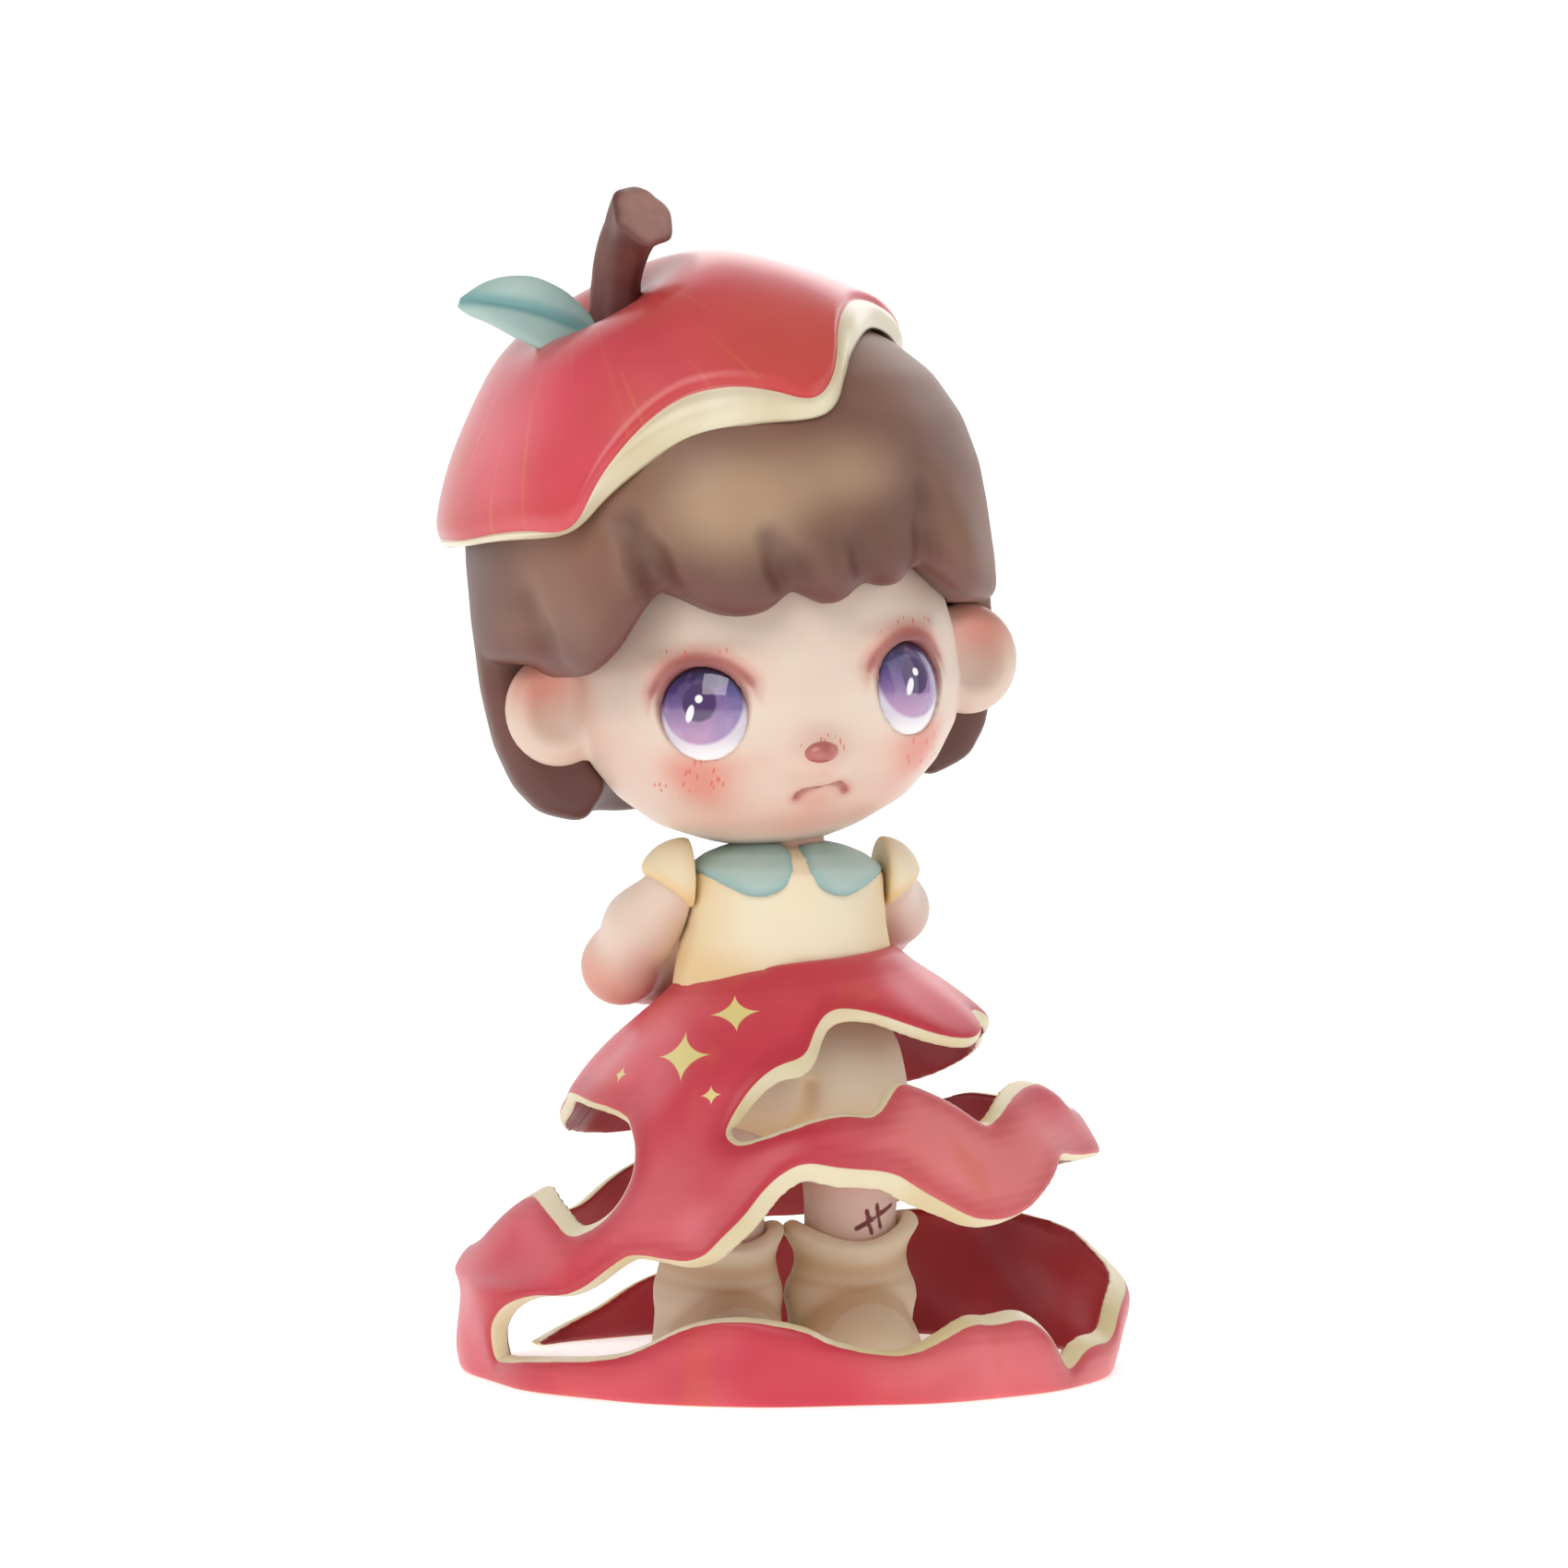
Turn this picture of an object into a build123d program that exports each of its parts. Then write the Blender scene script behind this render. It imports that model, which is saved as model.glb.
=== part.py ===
from build123d import *
import os
from math import cos, sin, radians, sqrt

# A moulded art toy: a big-headed doll that wears an apple peel.  The doll faces -Y, the floor is z = 0,
# and the origin is the centre of the ring of peel that it stands in.  "left" and "right" are the doll's
# own sides, so its right hand is on the -X side.  All sizes are in millimetres.

# ---------------------------------------------------------------- driving dimensions
FIGURE_X = -0.7            # the doll stands slightly off the ring's centre
PEEL_RADIUS = 36.2         # outside radius of the ring of peel on the floor
WAIST_RADIUS = 12.2        # outside radius of the peel at the waist
WAIST_HEIGHT = 43.5
BELL_START = 12.0          # the peel is upright below this height and bells in above it
PEEL_WALL = 2.4
PEEL_LEAN = 0.13           # rise per millimetre towards +X of the upper turns
BRIDGE_HEIGHT = 29.0       # the skirt hangs on to the ribbon of peel here
BASE_SEAM = 3.0            # the ribbon stands on the base ring here, at its right-hand end

NECK_HEIGHT = 57.5         # the head turns here
HEAD_TILT = 7.0            # degrees, towards -X
FIT = 0.05                 # radial play of the turning pegs
SHOULDER_HEIGHT = 53.5
SHOULDER_HALF = 10.6       # half of the chest's width at the arm joints
ARM_GAP = 0.2
ARM_PEG_RADIUS = 2.0
LEG_SPACING = 7.4          # from the doll's centre plane to each leg
LEG_RADIUS = 5.0
PIN_RADIUS = 0.8           # steel rods inside the legs

EYE_ANGLE = 31.0           # degrees to each side of the face's middle
EYE_HEIGHT = 15.0          # heights on the head are from the neck joint, along the head's axis
EYE_HOLE = 4.8
EYE_GLOBE = 6.8
GLOBE_REACH = 13.4         # from the head's axis to the centre of an eye globe
EAR_X = 24.0
EAR_PEG = 1.8
NOSE_STALK = 0.8
HAIR_CENTRE = (-2.2, 4.5, 27.5)
HAIR_RADIUS = 29.7
HAT_RADIUS = 32.4

os.makedirs("parts", exist_ok=True)


def blend_step(value, start, end):
    """0 before start, 1 after end, and smooth between them."""
    share = min(1.0, max(0.0, (value - start) / (end - start)))
    return share * share * (3 - 2 * share)


# ---------------------------------------------------------------- the peel
def peel_point(angle, height, depth):
    """(distance from the axis, z) on the peel's wall, depth millimetres inside its outer face."""
    share = max(0.0, (height - BELL_START) / (WAIST_HEIGHT - BELL_START))
    radius = WAIST_RADIUS + (PEEL_RADIUS - WAIST_RADIUS) * cos(radians(90 * min(1.0, share)))
    radius -= 1.0 * max(0.0, 1 - height / 3) ** 2
    lean = PEEL_LEAN * blend_step(height, 8, 18)
    distance = radius - depth
    return distance, height + lean * distance * cos(radians(angle))


def peel_section(angle, low, high):
    """The peel's cut face at one angle round it, from its lower edge to its upper edge."""
    plane = Plane((0, 0, 0), x_dir=(cos(radians(angle)), sin(radians(angle)), 0),
                  z_dir=(sin(radians(angle)), -cos(radians(angle)), 0))
    steps = [low + (high - low) * i / 3 for i in range(4)]
    with BuildSketch(plane) as section:
        with BuildLine():
            outer = Spline([peel_point(angle, h, 0) for h in steps])
            inner = Spline([peel_point(angle, h, PEEL_WALL) for h in steps])
            Line(outer @ 0, inner @ 0)
            Line(outer @ 1, inner @ 1)
        make_face()
    return section.sketch.face()


def edge_height(stations, column, angle):
    """Height of an edge at an angle: a smooth line through that column of the stations."""
    at = max(i for i in range(len(stations) - 1) if stations[i][0] <= angle or i == 0)
    before, start, end, after = (stations[min(max(i, 0), len(stations) - 1)] for i in range(at - 1, at + 3))
    span = end[0] - start[0]
    share = (angle - start[0]) / span
    slope_start = (end[column] - before[column]) / max(end[0] - before[0], span) * span
    slope_end = (after[column] - start[column]) / max(after[0] - start[0], span) * span
    cube, square = share ** 3, share ** 2
    return ((2 * cube - 3 * square + 1) * start[column] + (cube - 2 * square + share) * slope_start
            + (3 * square - 2 * cube) * end[column] + (cube - square) * slope_end)


def peel_band(sections):
    """Lofts the peel through its sections: in two halves, so that a whole turn can close on itself."""
    middle = len(sections) // 2
    loft(sections[:middle + 1], ruled=True)
    loft(sections[middle:], ruled=True)


STEP = 6                                # degrees between the sections of the peel
BASE_JOIN = range(144, 193, STEP)       # the ribbon stands on the base ring over these angles
BRIDGE = range(-138, -119, STEP)        # the skirt meets the ribbon over these angles

# The base ring: low in front, tall behind, and tapering out under the ribbon.
base_top = [(144, BASE_SEAM), (160, BASE_SEAM), (176, BASE_SEAM), (192, BASE_SEAM), (207, 3.4), (221, 4.1),
            (230, 5.6), (238, 8.2), (248, 9.0), (258, 7.4), (270, 5.4), (278, 5.6), (288, 8.0), (299, 8.2),
            (306, 5.4), (313, 1.9), (322, 4.0), (334, 6.8), (352, 9.3), (372, 11.4), (396, 12.4), (418, 12.4),
            (438, 11.0), (452, 8.8), (464, 6.3), (475, 3.6), (486, 1.6), (498, 0.9)]
with BuildPart() as peel_base:
    slices = []
    for angle in range(144, 493, STEP):
        top = BASE_SEAM if angle in BASE_JOIN else edge_height(base_top, 1, angle)
        slices.append(peel_section(angle, 0.0, top))
    peel_band(slices)
peel_base.part.label = "peel_base"
export_step(peel_base.part, "parts/peel_base.step")

# The ribbon: from the bridge to the +X side, round the back, and down the -X side onto the base ring.
ribbon_edges = [(-138, 16.6, 29.0), (-131, 18.0, 29.0), (-124, 17.1, 29.0), (-118, 18.4, 28.6), (-111, 22.4, 27.8),
                (-104, 25.2, 28.8), (-94, 24.8, 29.5), (-84, 23.4, 29.2), (-76, 19.9, 31.6), (-69, 17.2, 30.3),
                (-60, 16.8, 26.3), (-52, 18.8, 26.9), (-44, 21.0, 28.4), (-33, 20.6, 28.8), (-22, 19.8, 25.2),
                (0, 17.6, 24.4), (24, 16.0, 25.1), (46, 14.6, 24.0), (66, 13.4, 23.2), (88, 12.9, 22.6),
                (106, 11.4, 21.6), (120, 9.4, 18.4), (132, 6.0, 16.4), (144, BASE_SEAM, 15.8),
                (160, BASE_SEAM, 16.0), (176, BASE_SEAM, 18.2), (190, BASE_SEAM, 23.2), (199, 8.2, 23.2),
                (206, 11.0, 21.2), (212, 11.6, 19.8), (217, 13.6, 20.4), (222, 16.6, 22.0)]
with BuildPart() as peel_ribbon:
    slices = []
    for angle in range(-138, 217, STEP):
        low = BASE_SEAM if angle in BASE_JOIN else edge_height(ribbon_edges, 1, angle)
        high = BRIDGE_HEIGHT if angle in BRIDGE else edge_height(ribbon_edges, 2, angle)
        slices.append(peel_section(angle, low, high))
    slices.append(peel_section(222, edge_height(ribbon_edges, 1, -138), BRIDGE_HEIGHT))
    peel_band(slices)
peel_ribbon.part.label = "peel_ribbon"
export_step(peel_ribbon.part, "parts/peel_ribbon.step")

# The skirt, all the way round: its hem is highest over the left leg and low behind.
skirt_hem = [(-128, BRIDGE_HEIGHT), (-119, BRIDGE_HEIGHT), (-113, 33.5), (-104, 35.4), (-96, 38.6), (-86, 39.8),
             (-72, 38.4), (-56, 35.4), (-42, 34.6), (-26, 36.0), (-10, 35.2), (10, 32.2), (30, 29.7), (48, 27.2),
             (72, 26.2), (98, 25.8), (124, 26.8), (146, 29.2), (164, 31.6), (184, 32.6), (202, 32.2), (214, 30.6),
             (222, BRIDGE_HEIGHT), (234, BRIDGE_HEIGHT)]
with BuildPart() as peel_skirt:
    slices = []
    for angle in range(-126, 235, STEP):
        on_bridge = angle in BRIDGE or angle - 360 in BRIDGE
        low = BRIDGE_HEIGHT if on_bridge else edge_height(skirt_hem, 1, angle)
        slices.append(peel_section(angle, low, WAIST_HEIGHT))
    peel_band(slices)
peel_skirt.part.label = "peel_skirt"
export_step(peel_skirt.part, "parts/peel_skirt.step")

# ---------------------------------------------------------------- the head's frame
ACROSS = Vector(cos(radians(HEAD_TILT)), 0, sin(radians(HEAD_TILT)))
UP = Vector(-sin(radians(HEAD_TILT)), 0, cos(radians(HEAD_TILT)))
NECK = Vector(FIGURE_X, 0, NECK_HEIGHT)


def head_point(x, y, z):
    """A place on the head: x across it, y front to back, z along its axis, from the neck joint."""
    return NECK + ACROSS * x + Vector(0, y, 0) + UP * z


def head_upright(x=0, y=0):
    """The head's upright plane across it: sketch x runs across the head, sketch y up its axis."""
    return Plane(head_point(x, y, 0), x_dir=ACROSS, z_dir=(0, -1, 0))


def head_level(z, x=0, y=0):
    """A plane square to the head's axis."""
    return Plane(head_point(x, y, z), x_dir=ACROSS, z_dir=UP)


HEAD_AXIS = Axis(NECK, UP)
HAIR_AXIS = Axis(head_point(HAIR_CENTRE[0], HAIR_CENTRE[1], 0), UP)


def eye_axis(side):
    """The direction an eye looks in."""
    return ACROSS * (side * sin(radians(EYE_ANGLE))) + Vector(0, -cos(radians(EYE_ANGLE)), 0)


def eye_plane(side, reach):
    """A plane square to an eye's axis, at a distance from the head's axis."""
    start = head_point(0, 0, EYE_HEIGHT) + eye_axis(side) * reach
    return Plane(start, x_dir=UP, z_dir=eye_axis(side))


def turned(profile_outer, profile_inner, plane, axis):
    """Revolves the wall between two profiles of (radius, height) points."""
    with BuildSketch(plane) as wall:
        with BuildLine():
            outer = Spline(profile_outer)
            inner = Spline(profile_inner)
            Line(outer @ 0, inner @ 0)
            Line(outer @ 1, inner @ 1)
        make_face()
    revolve(wall.sketch, axis=axis)


def turned_solid(profile, plane, axis, mode=Mode.ADD):
    """Revolves a solid whose profile starts and ends on its axis or is closed along it."""
    with BuildSketch(plane) as half:
        with BuildLine():
            Spline(profile)
            corners = [profile[-1], (0, profile[-1][1]), (0, profile[0][1]), profile[0]]
            corners = [c for i, c in enumerate(corners) if i == 0 or c != corners[i - 1]]
            Polyline(corners)
        make_face()
    revolve(half.sketch, axis=axis, mode=mode)


# ---------------------------------------------------------------- the head
skull_outer = [(5.0, 0.0), (9.2, 0.9), (13.4, 3.1), (17.2, 6.6), (19.9, 10.6), (21.0, 15.2), (20.9, 20.0),
               (19.6, 27.0), (17.2, 34.0), (13.2, 41.0)]
skull_inner = [(5.0, 2.5), (8.6, 3.3), (12.0, 5.1), (15.3, 8.2), (17.6, 11.7), (18.6, 15.6), (18.5, 19.8),
               (17.3, 26.3), (15.0, 33.0), (10.8, 41.0)]

with BuildPart() as skull_solid:
    turned_solid([(0.0, 0.0)] + skull_outer, head_upright(), HEAD_AXIS)

# The ears: flattened rounds on the sides of the head.
ears = {}
for side, name in ((1, "left_ear"), (-1, "right_ear")):
    with BuildPart() as ear:
        middle = head_point(side * EAR_X, 1.2, 16.5)
        with BuildSketch(Plane(middle, x_dir=ACROSS, z_dir=UP)):
            with BuildLine():
                Spline((0, -2.8), (2.4, -2.7), (4.6, -2.0), (5.6, -0.2), (4.8, 1.5), (2.4, 2.2), (0, 2.3))
                Line((0, 2.3), (0, -2.8))
            make_face()
        revolve(axis=Axis(middle, (0, 1, 0)))
        with Locations(Location(head_point(side * (EAR_X + 1.0), -3.4, 16.5))):
            Sphere(2.4, mode=Mode.SUBTRACT)
        add(skull_solid.part, mode=Mode.SUBTRACT)
        with BuildSketch(Plane(head_point(side * 18.0, 1.2, 16.5), x_dir=UP, z_dir=ACROSS * side)):
            Circle(EAR_PEG)
        extrude(amount=5.0)
    ear.part.label = name
    export_step(ear.part, f"parts/{name}.step")
    ears[side] = ear.part

# The nose, a small bead with a stalk through the face.
with BuildPart() as nose:
    middle = head_point(0, -20.2, 9.5)
    with BuildSketch(Plane(middle, x_dir=ACROSS, z_dir=(0, -1, 0))):
        Ellipse(2.1, 1.35)
        with Locations((0, -3)):
            Rectangle(6, 6, mode=Mode.SUBTRACT)
    revolve(axis=Axis(middle, ACROSS))
    add(skull_solid.part, mode=Mode.SUBTRACT)
    with BuildSketch(Plane(head_point(0, -16.4, 9.5), x_dir=ACROSS, z_dir=(0, -1, 0))):
        Circle(NOSE_STALK)
    extrude(amount=4.0)
nose.part.label = "nose"
export_step(nose.part, "parts/nose.step")

# The glass eyes: a coloured globe behind a clear dome that fills the eye hole.
globes = {}
lenses = {}
for side, name in ((1, "left"), (-1, "right")):
    with BuildPart() as globe:
        with Locations(Location(eye_plane(side, GLOBE_REACH).origin)):
            Sphere(EYE_GLOBE)
    globe.part.label = f"{name}_eye_globe"
    export_step(globe.part, f"parts/{name}_eye_globe.step")
    globes[side] = globe.part

    with BuildPart() as lens:
        with BuildSketch(eye_plane(side, 17.6)):
            Circle(EYE_HOLE)
        extrude(amount=6)
        with Locations(Location(eye_plane(side, 12.4).origin)):
            Sphere(9.6, mode=Mode.INTERSECT)
        add(globes[side], mode=Mode.SUBTRACT)
    lens.part.label = f"{name}_eye_lens"
    export_step(lens.part, f"parts/{name}_eye_lens.step")
    lenses[side] = lens.part

# The cradle that holds the globes from behind, and its two screws.
BOSS_X = 16.0
with BuildPart() as screws:
    for side in (1, -1):
        with BuildSketch(Plane(head_point(side * BOSS_X, -4.0, 15.0), x_dir=ACROSS, z_dir=(0, 1, 0))):
            Circle(1.7)
        extrude(amount=1.2)
        with BuildSketch(Plane(head_point(side * BOSS_X, -4.0, 15.0), x_dir=ACROSS, z_dir=(0, -1, 0))):
            Circle(0.9)
        extrude(amount=6.0)
screws.part.label = "bracket_screws"
export_step(screws.part, "parts/bracket_screws.step")

with BuildPart() as eye_bracket:
    with BuildSketch(head_level(12.5)):
        with Locations((0, -5.25)):
            Rectangle(33.2, 2.5)
        with Locations((0, -7.5)):
            Rectangle(24, 4)
    extrude(amount=5)
    for side in (1, -1):
        add(globes[side], mode=Mode.SUBTRACT)
    add(screws.part, mode=Mode.SUBTRACT)
eye_bracket.part.label = "eye_bracket"
export_step(eye_bracket.part, "parts/eye_bracket.step")

with BuildPart() as head_shell:
    turned(skull_outer, skull_inner, head_upright(), HEAD_AXIS)
    for side in (1, -1):
        with BuildSketch(Plane(head_point(side * BOSS_X, -6.5, 15.0), x_dir=ACROSS, z_dir=(0, -1, 0))):
            Circle(1.9)
        extrude(amount=4.5)
        with BuildSketch(eye_plane(side, 14.0)):
            Circle(EYE_HOLE)
        extrude(amount=12, mode=Mode.SUBTRACT)
        add(globes[side], mode=Mode.SUBTRACT)
        with BuildSketch(Plane(head_point(side * 14.0, 1.2, 16.5), x_dir=UP, z_dir=ACROSS * side)):
            Circle(EAR_PEG)
        extrude(amount=9.0, mode=Mode.SUBTRACT)
    with BuildSketch(Plane(head_point(0, -14.0, 9.5), x_dir=ACROSS, z_dir=(0, -1, 0))):
        Circle(NOSE_STALK)
    extrude(amount=8.0, mode=Mode.SUBTRACT)
    add(screws.part, mode=Mode.SUBTRACT)
head_shell.part.label = "head_shell"
export_step(head_shell.part, "parts/head_shell.step")

with BuildPart() as crown_plug:
    with BuildSketch(head_level(37.0)):
        Circle(10.8)
    extrude(amount=4.0)
    with BuildSketch(head_level(41.0)):
        Circle(13.0)
    extrude(amount=1.6)

# The bush that turns on the neck.
with BuildPart() as neck_socket:
    with BuildSketch(head_level(0)):
        Circle(5.0)
        Circle(2.6 + FIT, mode=Mode.SUBTRACT)
    extrude(amount=7.0)
neck_socket.part.label = "neck_socket"
export_step(neck_socket.part, "parts/neck_socket.step")

# ---------------------------------------------------------------- the hair
hair_outer = [(22.4, 5.0), (25.4, 6.8), (27.4, 9.8), (28.8, 13.6), (29.6, 20.0), (HAIR_RADIUS, 27.5),
              (28.6, 36.0), (25.2, 43.8), (20.0, 50.4), (12.6, 55.6), (5.0, 57.8), (0.0, 58.0)]
hair_inner = [(19.6, 5.0), (22.6, 8.2), (24.6, 11.4), (26.0, 15.0), (26.9, 20.6), (27.1, 27.4),
              (26.2, 35.2), (22.8, 42.6), (18.0, 48.6), (11.4, 53.2), (4.6, 55.2), (0.0, 55.4)]
hair_plane = head_upright(HAIR_CENTRE[0], HAIR_CENTRE[1])
with BuildPart() as hair_solid:
    turned_solid(hair_outer, hair_plane, HAIR_AXIS)

# The pin from the crown through hair and hat into the stem.
STEM_FOOT = Vector(-18.9, 0.4, 110.6)
STEM_TOP = Vector(-15.4, -4.4, 127.0)
hair_middle = head_point(*HAIR_CENTRE)
PIN_DIRECTION = (STEM_FOOT - hair_middle).normalized()
with BuildPart() as hat_post:
    with BuildSketch(Plane(hair_middle + PIN_DIRECTION * 12.5, z_dir=PIN_DIRECTION)):
        Circle(1.2)
    extrude(amount=22.5)
hat_post.part.label = "hat_post"
export_step(hat_post.part, "parts/hat_post.step")

with BuildPart() as crown:
    add(crown_plug.part)
    add(hat_post.part, mode=Mode.SUBTRACT)
crown.part.label = "crown_plug"
export_step(crown.part, "parts/crown_plug.step")

# Front of the hair: a cap and a fringe of thick locks, resting on the forehead.
fringe = [(-45, -12), (-45, 23.4), (-26.0, 23.4), (-24.0, 21.6), (-21.9, 21.1), (-19.2, 23.8), (-14.4, 28.4),
          (-11.4, 26.4), (-7.3, 25.0), (-4.2, 25.8), (-2.0, 26.5), (-0.4, 25.2), (1.3, 24.7), (3.6, 25.0),
          (5.7, 26.0), (8.6, 25.9), (11.6, 26.9), (14.8, 25.0), (18.4, 23.6), (20.6, 23.4), (45, 23.4), (45, -12)]
PARTING = 4.0
front_plane = head_upright(HAIR_CENTRE[0], 8.0)
with BuildPart() as hair_front:
    add(hair_solid.part)
    front_axis = Axis(head_point(HAIR_CENTRE[0], 8.0, 0), UP)
    turned_solid(hair_inner, head_upright(HAIR_CENTRE[0], 8.0), front_axis, Mode.SUBTRACT)
    with BuildSketch(head_upright(0, PARTING)):
        with BuildLine():
            Polyline(fringe, close=True)
        make_face()
    extrude(amount=60, mode=Mode.SUBTRACT)
    with BuildSketch(head_level(-5, 0, PARTING + 30)):
        Rectangle(90, 60)
    extrude(amount=80, mode=Mode.SUBTRACT)
    add(skull_solid.part, mode=Mode.SUBTRACT)
    add(hat_post.part, mode=Mode.SUBTRACT)
hair_front.part.label = "hair_front"
export_step(hair_front.part, "parts/hair_front.step")

# Back of the hair: the bob.
with BuildPart() as hair_back:
    add(hair_solid.part)
    turned_solid(hair_inner, hair_plane, HAIR_AXIS, Mode.SUBTRACT)
    with BuildSketch(head_level(-5, 0, PARTING - 30)):
        Rectangle(90, 60)
    extrude(amount=80, mode=Mode.SUBTRACT)
    for side in (1, -1):
        add(ears[side], mode=Mode.SUBTRACT)
    add(skull_solid.part, mode=Mode.SUBTRACT)
    add(crown_plug.part, mode=Mode.SUBTRACT)
    add(hat_post.part, mode=Mode.SUBTRACT)
hair_back.part.label = "hair_back"
export_step(hair_back.part, "parts/hair_back.step")

# ---------------------------------------------------------------- the hat of peel
RIM_SLOPE_X = 0.40         # the rim climbs towards +X
RIM_SLOPE_Y = 0.12
RIM_START = 20.5           # height of the rim over the hair's centre, straight above it
hat_middle = hair_middle + Vector(0.6, 0, 2.0)
stem_direction = (STEM_TOP - STEM_FOOT).normalized()

with BuildPart() as hat_stem:
    with BuildSketch(Plane(STEM_FOOT, z_dir=stem_direction)):
        Circle(2.9)
    with BuildSketch(Plane(STEM_FOOT + (STEM_TOP - STEM_FOOT) * 0.3, z_dir=stem_direction)):
        Circle(2.3)
    with BuildSketch(Plane(STEM_FOOT + (STEM_TOP - STEM_FOOT) * 0.75, z_dir=stem_direction)):
        Circle(2.7)
    with BuildSketch(Plane(STEM_TOP, z_dir=stem_direction)):
        Ellipse(3.7, 3.2)
    loft()
    add(hair_solid.part, mode=Mode.SUBTRACT)
    add(hat_post.part, mode=Mode.SUBTRACT)
hat_stem.part.label = "hat_stem"
export_step(hat_stem.part, "parts/hat_stem.step")

LEAF_FOOT = Vector(-20.2, 0.2, 111.0)
LEAF_TIP = Vector(-36.0, 3.0, 115.6)
leaf_run = LEAF_TIP - LEAF_FOOT
leaf_plane = Plane(LEAF_FOOT, x_dir=leaf_run, z_dir=(-0.25, -0.84, 0.48))
leaf_length = leaf_run.length
with BuildPart() as hat_leaf:
    with BuildSketch(leaf_plane):
        with BuildLine():
            upper = Spline((0, 1.2), (leaf_length * 0.35, 3.6), (leaf_length * 0.7, 3.4), (leaf_length, 0))
            lower = Spline((0, -1.2), (leaf_length * 0.3, -3.8), (leaf_length * 0.65, -3.0), (leaf_length, 0))
            Line(upper @ 0, lower @ 0)
        make_face()
    extrude(amount=0.9, both=True)
    add(hair_solid.part, mode=Mode.SUBTRACT)
    add(hat_stem.part, mode=Mode.SUBTRACT)
    add(hat_post.part, mode=Mode.SUBTRACT)
hat_leaf.part.label = "hat_leaf"
export_step(hat_leaf.part, "parts/hat_leaf.step")

with BuildPart() as hat_peel:
    with BuildSketch(Plane(hat_middle, x_dir=(1, 0, 0), z_dir=(0, -1, 0))):
        Ellipse(HAT_RADIUS, HAT_RADIUS + 1.8)
        with Locations((-HAT_RADIUS, 0)):
            Rectangle(2 * HAT_RADIUS, 3 * HAT_RADIUS, mode=Mode.SUBTRACT)
    revolve(axis=Axis(hat_middle, (0, 0, 1)))
    with Locations(Location(hair_middle + PIN_DIRECTION * 38.6)):
        Sphere(7.4, mode=Mode.SUBTRACT)
    rim_normal = Vector(-RIM_SLOPE_X, -RIM_SLOPE_Y, 1).normalized()
    with BuildSketch(Plane(hair_middle + Vector(0, 0, RIM_START), z_dir=rim_normal)):
        Rectangle(150, 150)
    extrude(amount=-80, mode=Mode.SUBTRACT)
    add(hair_solid.part, mode=Mode.SUBTRACT)
    add(hat_stem.part, mode=Mode.SUBTRACT)
    add(hat_leaf.part, mode=Mode.SUBTRACT)
    add(hat_post.part, mode=Mode.SUBTRACT)
hat_peel.part.label = "hat_peel"
export_step(hat_peel.part, "parts/hat_peel.step")

# ---------------------------------------------------------------- neck, shirt and collar
STUB_RADIUS = 4.3
with BuildPart() as neck_post:
    with BuildSketch(head_level(-4.0)):
        Circle(STUB_RADIUS)
    extrude(amount=3.8)
    with BuildSketch(head_level(-0.2)):
        Circle(2.6)
    extrude(amount=7.5)
    with BuildSketch(head_level(7.3)):
        Circle(3.4)
    extrude(amount=1.6)
    with BuildSketch(Plane((FIGURE_X, 0, 48.5))):
        Circle(3.0)
    extrude(amount=6.0)
neck_post.part.label = "neck_post"
export_step(neck_post.part, "parts/neck_post.step")

# Bloomers, with a post up through the skirt into the shirt.
with BuildPart() as legs_tool:
    for side in (1, -1):
        with BuildSketch(Plane((FIGURE_X + side * LEG_SPACING, 0, 7.0))):
            Circle(LEG_RADIUS)
        extrude(amount=20.5)
        with BuildSketch(Plane((FIGURE_X + side * LEG_SPACING, 0, 27.5))):
            Circle(3.4)
        extrude(amount=5.0)

waist_plane = Plane((0, 0, WAIST_HEIGHT), z_dir=Vector(-PEEL_LEAN, 0, 1).normalized())
FIGURE_PLANE = Plane((FIGURE_X, 0, 0), x_dir=(1, 0, 0), z_dir=(0, -1, 0))
FIGURE_AXIS = Axis((FIGURE_X, 0, 0), (0, 0, 1))
with BuildPart() as bloomers:
    with BuildSketch(FIGURE_PLANE):
        with BuildLine():
            side_line = Spline((8.0, 26.6), (12.2, 30.0), (12.9, 33.5), (11.4, 37.6), (8.8, 40.4))
            Polyline(side_line @ 1, (8.8, 45.5), (7.0, 45.5), (7.0, 48.0), (0, 48.0), (0, 26.6), side_line @ 0)
        make_face()
    revolve(axis=FIGURE_AXIS)
    for side in (1, -1):
        with Locations((FIGURE_X + side * LEG_SPACING, 0, 30.2)):
            Sphere(6.6)
    with BuildSketch(Plane((0, 0, 26.0))):
        Rectangle(60, 60)
    extrude(amount=-10, mode=Mode.SUBTRACT)
    add(legs_tool.part, mode=Mode.SUBTRACT)
bloomers.part.label = "bloomers"
export_step(bloomers.part, "parts/bloomers.step")

with BuildPart() as arm_pegs:
    with BuildSketch(Plane((FIGURE_X - SHOULDER_HALF - 1, 0, SHOULDER_HEIGHT), z_dir=(1, 0, 0))):
        Circle(ARM_PEG_RADIUS + FIT)
    extrude(amount=5.4)
    with BuildSketch(Plane((FIGURE_X + SHOULDER_HALF + 1, 0, SHOULDER_HEIGHT), z_dir=(-1, 0, 0))):
        Circle(ARM_PEG_RADIUS + FIT)
    extrude(amount=5.4)

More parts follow.
